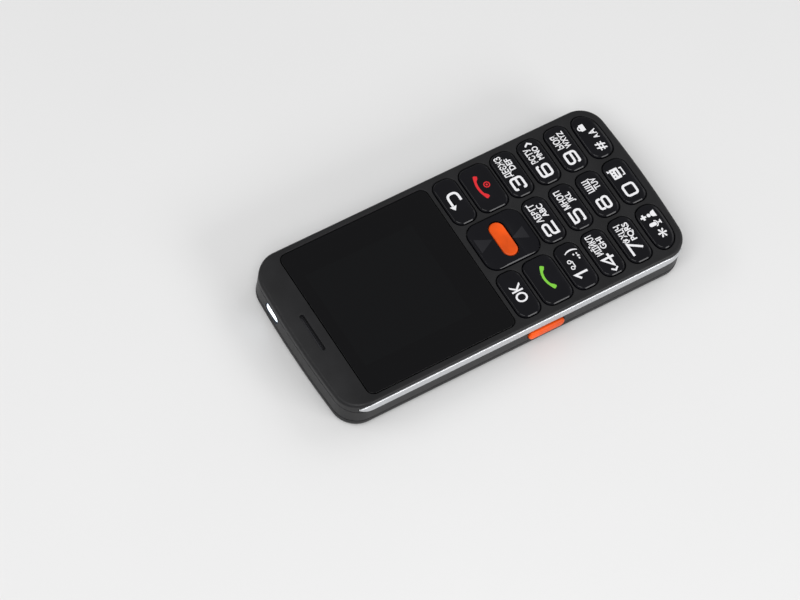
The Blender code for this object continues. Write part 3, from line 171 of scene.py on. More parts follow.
# How large the marks of handling are on the plastics, and how close the torch lens's flutes
WEAR_SIZE = 0.012
SMUDGE_SIZE = 0.009
FLUTE_PACE = 9000

# Printed marks on the keys
PRINT_ABOVE = 0.00002
PRINT_HALF_THICKNESS = 0.00004
DIGIT_HALF_WIDTH = 0.00196
DIGIT_HALF_HEIGHT = 0.00187
DIGIT_STROKE = 0.00076
DIGIT_RISE = 0.00019
LETTER_WEIGHT = 0.00007
CAP_SHARE = 0.7
DIGIT_CORNER = 0.0010
STROKE_STEPS = 8
HANDSET_STEPS = 36

# The floor, the lamps (name, place, size and power) and the camera
FLOOR_SIZE = 12.0
FLOOR_DROP = 0.0001
SKY_STRENGTH = 0.42
LAMPS = (
    ("main_softbox", (-0.35, 0.55, 1.05), (0.8, 0.8), 7.4),
    ("left_strip", (-0.90, -0.35, 0.42), (0.6, 0.3), 4.2),
    ("torch_side_strip", (0.44, 0.80, 0.68), (0.6, 0.25), 1.4),
    ("far_fill", (0.10, -0.95, 0.75), (0.9, 0.5), 2.0),
)
CAMERA_AIM = (-0.00313, 0.02786, 0.0132)
CAMERA_DISTANCE = 1.3427
CAMERA_AZIMUTH = math.radians(226.98)
CAMERA_ELEVATION = math.radians(59.52)
CAMERA_ROLL = math.radians(13.01)
LENS_LENGTH = 202.5
SENSOR_WIDTH = 36.0


def arc(centre_x, centre_y, radius, start, end, steps):
    """Points along an arc, both ends included."""
    turns = [start + (end - start) * step / steps for step in range(steps + 1)]
    return [(centre_x + radius * math.cos(turn), centre_y + radius * math.sin(turn)) for turn in turns]


def corner_centre():
    """The middle of the top right corner's arc, and the angle at which it runs into the bowed end."""
    middle_x = HALF_WIDTH - CORNER_RADIUS
    rise = math.sqrt((END_RADIUS - CORNER_RADIUS) ** 2 - middle_x**2)
    return middle_x, HALF_LENGTH - END_RADIUS + rise, math.atan2(rise, middle_x)


def body_outline(inset):
    """The phone's outline set in by a distance: straight sides, round corners and gently bowed ends."""
    middle_x, middle_y, meet = corner_centre()
    quarter = arc(middle_x, middle_y, CORNER_RADIUS - inset, 0, meet, CORNER_STEPS)
    quarter += arc(0, HALF_LENGTH - END_RADIUS, END_RADIUS - inset, meet, math.pi / 2, END_STEPS)[1:]
    upper = quarter[:-1] + [(-x, y) for x, y in reversed(quarter)]
    return upper + [(-x, -y) for x, y in upper]


def side_strip(outer_inset, inner_inset, extra=0.0):
    """A strip along the phone's right-hand side that runs a little way round both corners."""
    middle_x, middle_y, _ = corner_centre()
    reach = extra / CORNER_RADIUS
    paths = []
    for inset in (outer_inset, inner_inset):
        radius = CORNER_RADIUS - inset
        low = arc(middle_x, -middle_y, radius, -BAND_BOTTOM_ANGLE - reach, 0, BAND_STEPS)
        high = arc(middle_x, middle_y, radius, 0, BAND_TOP_ANGLE + reach, BAND_STEPS // 2)
        paths.append(low + high)
    return paths[0] + paths[1][::-1]


def tapered(strip, play=0.0):
    """Draws both ends of a side strip out to a blunt point, halfway up its height."""
    middle_x, middle_y, _ = corner_centre()
    halfway = (FRONT_BOTTOM + BAND_TOP) / 2
    ends = ((-1, BAND_BOTTOM_ANGLE, BAND_BOTTOM_TAPER), (1, BAND_TOP_ANGLE, BAND_TOP_TAPER))
    for side, angle, length in ends:
        for step in range(1, math.ceil(length / TAPER_STEP) + 1):
            turn = angle - step * TAPER_STEP / CORNER_RADIUS
            past = CORNER_RADIUS * (math.sin(turn) if turn > 0 else turn)
            divide(strip, side * (middle_y + past))
        for vertex in strip.data.vertices:
            past = side * vertex.co.y - middle_y
            turn = math.atan2(past, abs(vertex.co.x) - middle_x) if past > 0 else 0
            from_tip = (angle - turn) * CORNER_RADIUS - min(past, 0) + play
            share = 1 - min(max(from_tip / length, 0), 1)
            vertex.co.z = halfway + (vertex.co.z - halfway) * (1 - (1 - BAND_TIP) * share**2)
    strip.data.update()
    return strip


def thinned(points):
    """An outline without the points that lie all but on top of the one before."""
    return [
        point for place, point in enumerate(points)
        if (Vector(point) - Vector(points[place - 1])).length > SHORTEST_EDGE
    ]


def respaced(points, spacing):
    """An outline drawn again with its points at even distances."""
    closed = points + points[:1]
    sides = [math.dist(start, end) for start, end in zip(closed, closed[1:])]
    count = round(sum(sides) / spacing)
    fresh = []
    number, passed = 0, 0.0
    for step in range(count):
        goal = sum(sides) * step / count
        while passed + sides[number] < goal:
            passed += sides[number]
            number += 1
        share = (goal - passed) / sides[number]
        fresh.append(tuple(Vector(closed[number]).lerp(Vector(closed[number + 1]), share)))
    return fresh


def softened(points, rounds):
    """An outline with its corners worn round, by moving each point towards the middle of its neighbours."""
    for _ in range(rounds):
        middles = [
            (Vector(points[place - 1]) + Vector(points[(place + 1) % len(points)])) / 2
            for place in range(len(points))
        ]
        points = [tuple(Vector(point).lerp(between, 0.5)) for point, between in zip(points, middles)]
    return points


def rounded_rectangle(width, length, radius, centre=(0.0, 0.0), steps=8, grown=0.0):
    """The outline of a rectangle with round corners, grown all round, anticlockwise from its right."""
    points = []
    for number, (side_x, side_y) in enumerate(((1, 1), (-1, 1), (-1, -1), (1, -1))):
        middle_x = centre[0] + side_x * (width / 2 - radius)
        middle_y = centre[1] + side_y * (length / 2 - radius)
        start = number * math.pi / 2
        points += arc(middle_x, middle_y, radius + grown, start, start + math.pi / 2, steps)
    return thinned(points)


def clipped(points, fence):
    """The part of a convex outline that lies inside another convex outline."""
    for number, start in enumerate(fence):
        edge = Vector(fence[(number + 1) % len(fence)]) - Vector(start)
        kept = []
        for place, point in enumerate(points):
            before = points[place - 1]
            side = edge.cross(Vector(point) - Vector(start))
            side_before = edge.cross(Vector(before) - Vector(start))
            if side * side_before < 0:
                kept.append(tuple(Vector(before).lerp(Vector(point), side_before / (side_before - side))))
            if side >= 0:
                kept.append(point)
        points = kept
    return thinned(points)


def round_over(radius, steps=ROUND_STEPS):
    """Steps that carry a wall round into its top, each inwards and up along a quarter circle."""
    turns = [math.pi / 2 * step / steps for step in range(steps + 1)]
    pairs = list(zip(turns, turns[1:]))
    return [
        (radius * (math.cos(low) - math.cos(high)), radius * (math.sin(high) - math.sin(low)))
        for low, high in pairs
    ]


def flare(radius, steps=ROUND_STEPS):
    """Steps that carry a face round into an opening's wall, each inwards and down."""
    return [(rise, inwards) for inwards, rise in round_over(radius, steps)]


def choose(*pieces):
    """Selects pieces and nothing else, with the first one active."""
    bpy.ops.object.select_all(action="DESELECT")
    for piece in pieces:
        piece.select_set(True)
    bpy.context.view_layer.objects.active = pieces[0]


def everything(face):
    """A test that holds for every face."""
    return True


def edit(piece, chosen=everything):
    """Opens a piece for modelling with only the faces selected for which a test holds."""
    choose(piece)
    bpy.ops.object.mode_set(mode="EDIT")
    bpy.ops.mesh.select_mode(type="FACE")
    bpy.ops.mesh.select_all(action="DESELECT")
    shape = bmesh.from_edit_mesh(piece.data)
    for face in shape.faces:
        face.select_set(chosen(face))
    bmesh.update_edit_mesh(piece.data)


def reshape(piece, tool, **settings):
    """Works on a whole piece with one of Blender's mesh tools."""
    edit(piece)
    tool(**settings)
    bpy.ops.object.mode_set(mode="OBJECT")


def divide(piece, y):
    """Divides a piece straight across."""
    reshape(piece, bpy.ops.mesh.bisect, plane_co=(0, y, 0), plane_no=(0, 1, 0))


def flat_face(name, points, level, facing=1):
    """Starts a piece as one flat face of the given outline, facing up or down."""
    bpy.ops.object.select_all(action="DESELECT")
    bpy.ops.mesh.primitive_circle_add(vertices=len(points), fill_type="NGON")
    piece = bpy.context.object
    piece.name = piece.data.name = name
    for vertex, (x, y) in zip(piece.data.vertices, points):
        vertex.co = (x, y, level)
    piece.data.update()
    if piece.data.polygons[0].normal.z * facing < 0:
        reshape(piece, bpy.ops.mesh.flip_normals)
    return piece


def build_up(piece, steps, chosen=everything, facing=1):
    """Grows the chosen face by steps that each go inwards and along its normal."""
    edit(piece, chosen)
    for inwards, rise in steps:
        if inwards:
            bpy.ops.mesh.inset(thickness=inwards, depth=rise)
        else:
            move = {"value": (0, 0, rise * facing)}
            bpy.ops.mesh.extrude_region_move(TRANSFORM_OT_translate=move)
    bpy.ops.mesh.select_all(action="SELECT")
    bpy.ops.mesh.normals_make_consistent(inside=False)
    bpy.ops.object.mode_set(mode="OBJECT")
    return piece


def slab(name, points, low, high, round_top=0.0, crown=()):
    """A thick plate between two levels, with its upper rim rounded and its top crowned if wanted."""
    crown_rise = sum(rise for _, rise in crown)
    steps = [(0, high - low - round_top - crown_rise)]
    if round_top:
        steps += round_over(round_top)
    return build_up(flat_face(name, points, low), steps + list(crown))


def opening(name, points, low, rim):
    """A cutter whose mouth in the face flares out to the outline given."""
    cutter = flat_face(name, points, FACE + OVERRUN, facing=-1)
    steps = [(0, OVERRUN)] + flare(rim, 3) + [(0, FACE - rim - low)]
    return build_up(cutter, steps, facing=-1)


def volume(piece):
    """The space that a closed piece fills."""
    shape = bmesh.new()
    shape.from_mesh(piece.data)
    held = shape.calc_volume(signed=True)
    shape.free()
    return held


def combine(piece, operation, tools):
    """Cuts other shapes out of a piece or joins them to it, and uses them up.

    A cut that takes away more than its tool holds, or adds to the piece, is made again on a fresh copy.
    """
    choose(piece)
    for tool in tools:
        most = volume(tool) * VOLUME_SLACK
        whole, before = piece.data.copy(), volume(piece)
        for _ in range(CUT_TRIES):
            bpy.context.view_layer.update()
            change = piece.modifiers.new(tool.name, "BOOLEAN")
            change.operation = operation
            change.solver = "EXACT"
            change.object = tool
            bpy.ops.object.modifier_apply(modifier=change.name)
            taken = (before - volume(piece)) * (1 if operation == "DIFFERENCE" else -1)
            if -SMALLEST_VOLUME <= taken <= most + SMALLEST_VOLUME:
                break
            print("cut made again:", piece.name, tool.name)
            piece.data = whole.copy()
        bpy.data.objects.remove(tool)
    return piece


def cut(piece, *tools):
    return combine(piece, "DIFFERENCE", tools)


def join(piece, *tools):
    return combine(piece, "UNION", tools)


def merged(pieces, name):
    """Puts several pieces together in one object."""
    choose(*pieces)
    if len(pieces) > 1:
        bpy.ops.object.join()
    pieces[0].name = pieces[0].data.name = name
    return pieces[0]


def even_shading(piece, angle=SOFT_ANGLE):
    """Turns all faces outwards and shades the rounded parts smooth, with the flat parts left flat."""
    reshape(piece, bpy.ops.mesh.normals_make_consistent, inside=False)
    bpy.ops.object.shade_smooth_by_angle(angle=angle)
    even = piece.modifiers.new("even_shading", "WEIGHTED_NORMAL")
    even.keep_sharp = True
    bpy.ops.object.modifier_apply(modifier=even.name)
    return piece


def placed(name, data):
    """A new object in the scene."""
    made = bpy.data.objects.new(name, data)
    bpy.context.scene.collection.objects.link(made)
    return made


def copy_at(piece, name, place=(0, 0, 0), mirror=False):
    """A copy of a piece with a mesh of its own, moved to its place and mirrored across if wanted."""
    mesh = piece.data.copy()
    if mirror:
        mesh.transform(Matrix.Diagonal((-1, 1, 1, 1)))
        mesh.flip_normals()
    mesh.transform(Matrix.Translation(place))
    mesh.name = name
    return placed(name, mesh)


def turned(piece, across, upwards, outwards, place):
    """Turns a piece that was built flat so that its three directions lie along those given."""
    turn = Matrix((across, upwards, outwards)).transposed().to_4x4()
    piece.data.transform(Matrix.Translation(place) @ turn)
    return piece


def settle(piece, body, finish, slot=None, *nodes):
    """Gives a piece its finish and its place on a body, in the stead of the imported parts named."""
    piece.data.materials.clear()
    piece.data.materials.append(finish)
    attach(piece, body)
    if nodes:
        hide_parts(*nodes)
    return piece


def middle(node):
    """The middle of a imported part."""
    low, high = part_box(node)
    return (low + high) / 2


def extent(node):
    """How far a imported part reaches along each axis."""
    low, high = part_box(node)
    return high - low


def plan(node, corner, grown=0.0, steps=8):
    """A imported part's outline from the front, grown all round and with round corners."""
    centre, reach = middle(node), extent(node)
    return rounded_rectangle(reach.x, reach.y, corner, (centre.x, centre.y), steps, grown)


def oval(width, length, grown=0.0, centre=(0.0, 0.0), steps=10):
    """The outline of an oval, grown all round."""
    return rounded_rectangle(width, length, min(width, length) / 2, centre, steps, grown)


def ring(radius, centre, steps):
    """A round outline."""
    return oval(2 * radius, 2 * radius, 0, centre, steps)


def evenly(count, pitch):
    """Places in a row about zero."""
    return [pitch * (number - (count - 1) / 2) for number in range(count)]


class Value:
    """A number or colour that varies over a surface, on which Python's arithmetic adds Math nodes."""

    def __init__(self, finish, socket):
        self.finish = finish
        self.socket = socket

    def math(self, operation, *numbers):
        return self.finish.node("ShaderNodeMath", {"operation": operation}, dict(enumerate(numbers)))

    def __add__(self, other):
        return self.math("ADD", self, other)

    def __radd__(self, other):
        return self.math("ADD", other, self)

    def __sub__(self, other):
        return self.math("SUBTRACT", self, other)

    def __rsub__(self, other):
        return self.math("SUBTRACT", other, self)

    def __mul__(self, other):
        return self.math("MULTIPLY", self, other)

    def __rmul__(self, other):
        return self.math("MULTIPLY", other, self)

    def __gt__(self, other):
        return self.math("GREATER_THAN", self, other)

    def __lt__(self, other):
        return self.math("LESS_THAN", self, other)

    def __abs__(self):
        return self.math("ABSOLUTE", self)

    def wrapped(self, width):
        """The value counted again from zero after each width."""
        return self.math("WRAP", self, width, 0)

    def ramp(self, low, high):
        """Nought at the low value and one at the high value, with an even climb between them."""
        inputs = {"Value": self, "From Min": low, "From Max": high}
        return self.finish.node("ShaderNodeMapRange", {"clamp": True}, inputs)


def socket_name(name):
    """The shader's own name of a socket, from its name in Python's style."""
    return name.replace("_", " ").title().replace("Ior", "IOR")


class Finish:
    """A material made of nodes, with the values that are the same all over set on its shader."""

    def __init__(self, name, colour, roughness, **plain):
        self.material = bpy.data.materials.new(name)
        self.material.use_nodes = True
        self.tree = self.material.node_tree
        self.shader = self.tree.nodes["Principled BSDF"]
        self.paint(base_color=colour, roughness=roughness, **plain)
        self.place = self.node("ShaderNodeTexCoord", {}, {}, output="Object")

    def node(self, kind, settings, inputs, output=0):
        """Adds a node with its settings, then fills its sockets with values or links."""
        made = self.tree.nodes.new(kind)
        for name, value in settings.items():
            setattr(made, name, value)
        for name, value in inputs.items():
            self.fill(made.inputs[name], value)
        return Value(self, made.outputs[output])

    def fill(self, socket, value):
        if isinstance(value, Value):
            self.tree.links.new(value.socket, socket)
        elif socket.type == "RGBA":
            socket.default_value = (*value, 1)
        else:
            socket.default_value = value

    def paint(self, **looks):
        """Sets the shader's sockets, or feeds them with what varies over the surface."""
        for name, value in looks.items():
            self.fill(self.shader.inputs[socket_name(name)], value)
        return self.material

    def along(self, direction):
        """How far a point lies along an axis of the part."""
        return self.node("ShaderNodeSeparateXYZ", {}, {0: self.place}, output=direction)

    def noise(self, size, detail=2.0, stretch=(1, 1, 1)):
        """Soft random patches about as wide as the size given."""
        inputs = {"Vector": self.place, "Scale": tuple(part / size for part in stretch)}
        scaled = self.node("ShaderNodeMapping", {}, inputs)
        return self.node("ShaderNodeTexNoise", {}, {"Vector": scaled, "Scale": 1, "Detail": detail})

    def cells(self, size, feature="F1", metric="EUCLIDEAN"):
        """Distance within cells about as wide as the size given."""
        settings = {"feature": feature, "distance": metric}
        inputs = {"Vector": self.place, "Scale": 1 / size}
        return self.node("ShaderNodeTexVoronoi", settings, inputs, output="Distance")

    def mix(self, first, second, share):
        """A colour between two colours."""
        inputs = {0: share, 6: first, 7: second}
        return self.node("ShaderNodeMix", {"data_type": "RGBA"}, inputs, output=2)

    def layers(self, base, *overlays):
        """A base colour with others over it, each where its mask is one."""
        for colour, mask in overlays:
            base = self.mix(base, colour, mask)
        return base

    def bump(self, height, depth, strength=1.0):
        """A surface that stands up where the height is near one."""
        inputs = {"Height": height, "Distance": depth, "Strength": strength}
        return self.node("ShaderNodeBump", {}, inputs)

    def past(self, direction, node):
        """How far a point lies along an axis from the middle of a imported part."""
        return self.along(direction) - middle(node)["XYZ".index(direction)]

    def frame_mask(self, node, half_width, half_length, soft):
        """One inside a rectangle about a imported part's middle seen from the front, nought outside."""
        across = abs(self.past("X", node)).ramp(half_width + soft, half_width)
        return across * abs(self.past("Y", node)).ramp(half_length + soft, half_length)


def shade_of(colour, factor):
    """A colour made darker or lighter."""
    return tuple(part * factor for part in colour)


def grained_plastic(name, colour, roughness, grain, depth, **plain):
    """Moulded plastic with an eroded grain, slightly polished in patches by handling."""
    finish = Finish(name, colour, roughness, **plain)
    fine = finish.noise(grain, detail=3)
    worn = finish.noise(WEAR_SIZE, detail=4)
    tint = finish.mix(shade_of(colour, 0.8), shade_of(colour, 1.25), worn.ramp(0.35, 0.65))
    gloss = roughness - 0.06 + 0.10 * worn + 0.06 * fine
    return finish.paint(base_color=tint, roughness=gloss, normal=finish.bump(fine, depth))


def gloss_plastic(name, colour, roughness, **plain):
    """Polished plastic with a faint orange peel and smudges from fingers."""
    finish = Finish(name, colour, roughness, **plain)
    peel = finish.noise(0.004, detail=1)
    smudge = finish.noise(SMUDGE_SIZE, detail=5).ramp(0.45, 0.75)
    tint = finish.mix(shade_of(colour, 0.9), shade_of(colour, 1.3), smudge)
    gloss = roughness + 0.10 * smudge
    return finish.paint(base_color=tint, roughness=gloss, normal=finish.bump(peel, 0.00001, 0.3))


def printed_ink(name, colour):
    """Printed ink, a little uneven in its cover."""
    finish = Finish(name, colour, 0.5)
    cover = finish.noise(0.0003, detail=3)
    tint = finish.mix(shade_of(colour, 0.9), shade_of(colour, 1.0), cover.ramp(0.3, 0.6))
    return finish.paint(base_color=tint, roughness=0.42 + 0.16 * cover)


def brushed_metal(name, colour, roughness, stretch=(60, 1, 60), **plain):
    """Metal with fine lines drawn along it."""
    finish = Finish(name, colour, roughness, metallic=0.9, **plain)
    lines = finish.noise(0.006, detail=3, stretch=stretch)
    cloud = finish.noise(0.008, detail=2)
    tint = finish.mix(shade_of(colour, 0.88), shade_of(colour, 1.08), lines)
    gloss = roughness - 0.07 + 0.14 * lines + 0.05 * cloud
    return finish.paint(base_color=tint, roughness=gloss, normal=finish.bump(lines, 0.00001, 0.5))


def window_finish():
    """Smoked window: a printed black border, and the unlit display a shade lighter behind it."""
    finish = Finish("smoked_window", (0.003, 0.003, 0.004), 0.06, specular_ior_level=0.2)
    half = extent("lcd_panel") / 2
    unlit = finish.frame_mask("lcd_panel", half.x - 0.0012, half.y - 0.0012, 0.0001)
    tint = finish.mix((0.0020, 0.0020, 0.0026), (0.0026, 0.0028, 0.0034), unlit)
    smudge = finish.noise(0.014, detail=5).ramp(0.5, 0.8)
    return finish.paint(base_color=tint, roughness=0.05 + 0.06 * smudge)


def pad_finish():
    """The pad's polished plastic, with a rougher triangular patch in each scoop that points at the bar,
    painted lighter as a highlight of the scoop.
    """
    finish = Finish("pad_gloss", (0.003, 0.003, 0.005), 0.12, specular_ior_level=0.25)
    x, y = finish.along("X"), finish.past("Y", "nav_rocker")
    lower = (abs(x + 0.0010) < (-0.0024 - y) * 0.45) * (y > -0.0074)
    upper = (abs(x - 0.0013) < (y - 0.0032) * 0.50) * (y < 0.0084)
    painted_highlight_wedge = lower + upper
    smudge = finish.noise(SMUDGE_SIZE, detail=5).ramp(0.45, 0.75)
    # Painted highlight: the triangular patches get a lighter grey base colour that stands in for light
    # caught in the scoops, and they are also made rougher.
    tint = finish.mix((0.0028, 0.0028, 0.0048), (0.012, 0.012, 0.015), painted_highlight_wedge)
    return finish.paint(base_color=tint, roughness=0.11 + 0.10 * smudge + 0.25 * painted_highlight_wedge)


def torch_lens_finish():
    """The lit torch lens: a white middle that turns cool blue at the rim, over moulded flutes."""
    finish = Finish("lit_torch_lens", (0.80, 0.86, 0.92), 0.12, emission_strength=1.6, coat_weight=0.5)
    half = extent("torch_lens") / 2
    across = finish.past("X", "torch_lens") * (1 / half.x)
    upwards = finish.past("Z", "torch_lens") * (1 / half.z)
    spread = (across * across + upwards * upwards).ramp(0.1, 1.3)
    flutes = finish.node("ShaderNodeMath", {"operation": "SINE"}, {0: finish.along("X") * FLUTE_PACE})
    glow = finish.mix((1, 1, 1), (0.35, 0.50, 0.70), spread)
    return finish.paint(emission_color=glow, normal=finish.bump(flutes, 0.00004, 0.5))


def torch_led_finish():
    """The lamp chip: a yellow phosphor square in a white frame."""
    finish = Finish("torch_lamp", (0.85, 0.75, 0.25), 0.4, emission_strength=1.0)
    phosphor = (abs(finish.past("X", "torch_led")) < 0.0008) * (abs(finish.past("Z", "torch_led")) < 0.0007)
    tint = finish.mix((0.80, 0.80, 0.78), (0.90, 0.72, 0.15), phosphor)
    return finish.paint(base_color=tint, emission_color=tint, roughness=0.3 + 0.2 * finish.noise(0.0005))


def board_finish():
    """Green board with tracks under the mask, gilded pads and rows of small holes."""
    finish = Finish("green_board", (0.01, 0.10, 0.05), 0.35)
    track = finish.cells(0.0022, metric="MANHATTAN").wrapped(0.16) < 0.05
    pad = finish.cells(0.0031, metric="CHEBYCHEV") < 0.10
    hole = finish.cells(0.0018) < 0.09
    tint = finish.layers(
        (0.008, 0.085, 0.040), ((0.020, 0.170, 0.080), track), ((0.80, 0.55, 0.20), pad),
        ((0.01, 0.01, 0.01), hole),
    )
    height = 0.4 * track + 0.6 * pad
    return finish.paint(base_color=tint, metallic=pad, normal=finish.bump(height, 0.00003))


def battery_finish():
    """The cell's printed wrap: a grey sleeve with orange stripes and a dark band at each end."""
    finish = Finish("battery_wrap", (0.16, 0.17, 0.19), 0.35)
    half = extent("battery") / 2
    from_middle = abs(finish.past("Y", "battery"))
    cap = from_middle > half.y - 0.0035
    stripe = (abs(from_middle - (half.y - 0.0060)) < 0.0004) + (abs(from_middle - half.y / 2) < 0.0002)
    crease = finish.noise(0.010, detail=5, stretch=(1, 0.3, 1))
    tint = finish.layers(
        (0.13, 0.14, 0.16), ((0.19, 0.20, 0.22), crease), ((0.70, 0.10, 0.01), stripe),
        ((0.015, 0.015, 0.017), cap),
    )
    return finish.paint(base_color=tint, roughness=0.28 + 0.2 * crease, normal=finish.bump(crease, 0.00008))


def contact_finish():
    """Black moulding with gilded spring contacts in its slots."""
    finish = Finish("battery_contacts", (0.02, 0.02, 0.02), 0.45)
    spring = abs((finish.along("X") + 0.0013).wrapped(0.0026) - 0.0013) < 0.0005
    grain = finish.noise(0.0004)
    tint = finish.mix((0.018, 0.018, 0.020), (0.85, 0.60, 0.22), spring)
    return finish.paint(base_color=tint, metallic=spring, roughness=0.5 - 0.25 * spring + 0.1 * grain)


def antenna_finish():
    """Black carrier with the aerial's copper path folded to and fro on it."""
    finish = Finish("antenna_carrier", (0.015, 0.015, 0.016), 0.5)
    turn = abs((finish.along("X") + 0.0200).wrapped(0.0036) - 0.0018)
    leg = abs(turn - 0.0012) < 0.0004
    edge = abs(finish.past("Y", "antenna")) > 0.0008
    copper = leg.math("MAXIMUM", leg, edge * (turn < 0.0016))
    tint = finish.mix((0.015, 0.015, 0.016), (0.80, 0.38, 0.18), copper)
    gloss = 0.5 - 0.2 * copper + 0.1 * finish.noise(0.001)
    return finish.paint(base_color=tint, metallic=copper, roughness=gloss)


def loudspeaker_finish():
    """Black basket round a fine steel mesh."""
    finish = Finish("loudspeaker_mesh", (0.02, 0.02, 0.02), 0.5)
    mesh_area = finish.frame_mask("loudspeaker", 0.0076, 0.0046, 0.0001)
    hole = finish.cells(0.0005) < 0.25
    steel = mesh_area * (1 - hole)
    tint = finish.mix((0.015, 0.015, 0.016), (0.35, 0.35, 0.36), steel)
    return finish.paint(base_color=tint, metallic=steel, roughness=0.45, normal=finish.bump(steel, 0.00005))


def display_glass_finish():
    """The bare display: a dark polariser inside a narrow bright glass rim."""
    finish = Finish("display_glass", (0.012, 0.014, 0.018), 0.08)
    half = extent("lcd_panel") / 2
    polariser = finish.frame_mask("lcd_panel", half.x - 0.0010, half.y - 0.0014, 0.00005)
    haze = finish.noise(0.010, detail=3)
    tint = finish.mix((0.10, 0.12, 0.12), (0.008, 0.010, 0.013), polariser)
    return finish.paint(base_color=tint, roughness=0.06 + 0.12 * haze)


def dome_finish():
    """Domes under a clear sheet: bright steel discs on a milky film."""
    finish = Finish("dome_sheet", (0.60, 0.62, 0.62), 0.3)
    steel = finish.along("Z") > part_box("dome_sheet")[1].z - 0.00018
    crease = finish.noise(0.006, detail=4)
    tint = finish.layers((0.50, 0.52, 0.52), ((0.68, 0.70, 0.70), crease), ((0.75, 0.74, 0.70), steel))
    return finish.paint(base_color=tint, metallic=steel, roughness=0.25 + 0.2 * crease)


def rubber_finish():
    """Grey silicone with a dusty, slightly mottled surface."""
    finish = Finish("keypad_rubber", (0.17, 0.17, 0.18), 0.7)
    mottle = finish.noise(0.0012, detail=5)
    tint = finish.mix((0.13, 0.13, 0.14), (0.21, 0.21, 0.22), mottle)
    return finish.paint(base_color=tint, roughness=0.6 + 0.2 * mottle, normal=finish.bump(mottle, 0.00003))


housing_finish = grained_plastic(
    "housing_plastic", (0.0095, 0.0095, 0.0105), 0.42, 0.00035, 0.00002, specular_ior_level=0.3
)
cover_finish = grained_plastic(
    "cover_plastic", (0.0095, 0.0095, 0.0105), 0.55, 0.00055, 0.00005, specular_ior_level=0.35
)
component_finish = grained_plastic("component_plastic", (0.020, 0.020, 0.022), 0.5, 0.0005, 0.00002)
orange_finish = grained_plastic(
    "orange_plastic", (0.80, 0.085, 0.002), 0.40, 0.0005, 0.00001, specular_ior_level=0.25
)
key_finish = gloss_plastic("key_gloss", (0.0026, 0.0026, 0.0044), 0.13, specular_ior_level=0.25)
silver_finish = brushed_metal("silver_band", (0.62, 0.63, 0.65), 0.34, stretch=(30, 1, 60))
steel_finish = brushed_metal("tinned_steel", (0.60, 0.60, 0.58), 0.32, stretch=(1, 40, 40))
screw_finish = brushed_metal("screw_steel", (0.42, 0.42, 0.44), 0.30, stretch=(40, 40, 4))
mesh_finish = brushed_metal("earpiece_steel", (0.10, 0.10, 0.11), 0.35, stretch=(8, 8, 8))
white_ink = printed_ink("white_print", (0.86, 0.86, 0.88))
green_ink = printed_ink("green_print", (0.20, 0.60, 0.04))
red_ink = printed_ink("red_print", (0.72, 0.010, 0.018))


def screw_places():
    """Where the six housing screws stand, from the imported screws."""
    names = [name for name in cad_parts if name.startswith("screw_")]
    return [(name, middle(name).x, middle(name).y) for name in sorted(names)]


def key_places():
    """Name, middle and length of each plain key."""
    columns = (middle("key_7").x, middle("key_8").x, middle("key_9").x)
    rows = (("key_star", "key_0", "key_hash"), ("key_7", "key_8", "key_9"))
    rows += (("key_4", "key_5", "key_6"), ("key_1", "key_2", "key_3"))
    places = []
    for names in rows:
        places += [(name, x, middle(names[1]).y, KEY_LENGTH) for name, x in zip(names, columns)]
    sides = (columns[0], columns[2])
    places += [(name, x, middle(name).y, CALL_LENGTH) for name, x in zip(("call_key", "end_key"), sides)]
    places += [(name, x, middle(name).y, OK_LENGTH) for name, x in zip(("ok_key", "back_key"), sides)]
    return places


def key_outline(x, y, length, side_grow, end_grow):
    """A key's outline about its own middle; a bottom corner key is trimmed to the phone's outline."""
    grown = rounded_rectangle(
        KEY_WIDTH + 2 * side_grow, length + 2 * end_grow, KEY_CORNER + side_grow, centre=(x, y)
    )
    if abs(x) > 0 and y < middle("key_0").y + KEY_LENGTH / 2:
        trimmed = clipped(grown, body_outline(KEY_EDGE_INSET - side_grow))
        grown = softened(respaced(trimmed, TRIMMED_KEY_SPACING), TRIMMED_KEY_ROUNDS)
    return [(px - x, py - y) for px, py in grown]


def moved(points, x, y):
    return [(px + x, py + y) for px, py in points]


def score_end(piece):
    """Divides a piece across at even steps from where its top begins to fall to the torch end."""
    for step in range(SLOPE_STEPS):
        divide(piece, SLOPE_START + (HALF_LENGTH - SLOPE_START) * step / SLOPE_STEPS)


def lower_end(piece):
    """Lets the top of a piece fall away towards the torch end, along a smooth curve."""
    run = HALF_LENGTH - SLOPE_START
    for vertex in piece.data.vertices:
        share = (vertex.co.y - SLOPE_START) / run
        if share > 0 and vertex.co.z > SLOPE_ABOVE:
            fall = SLOPE_LINEAR_SHARE * share + (1 - SLOPE_LINEAR_SHARE) * share**2
            vertex.co.z -= SLOPE_DROP * fall


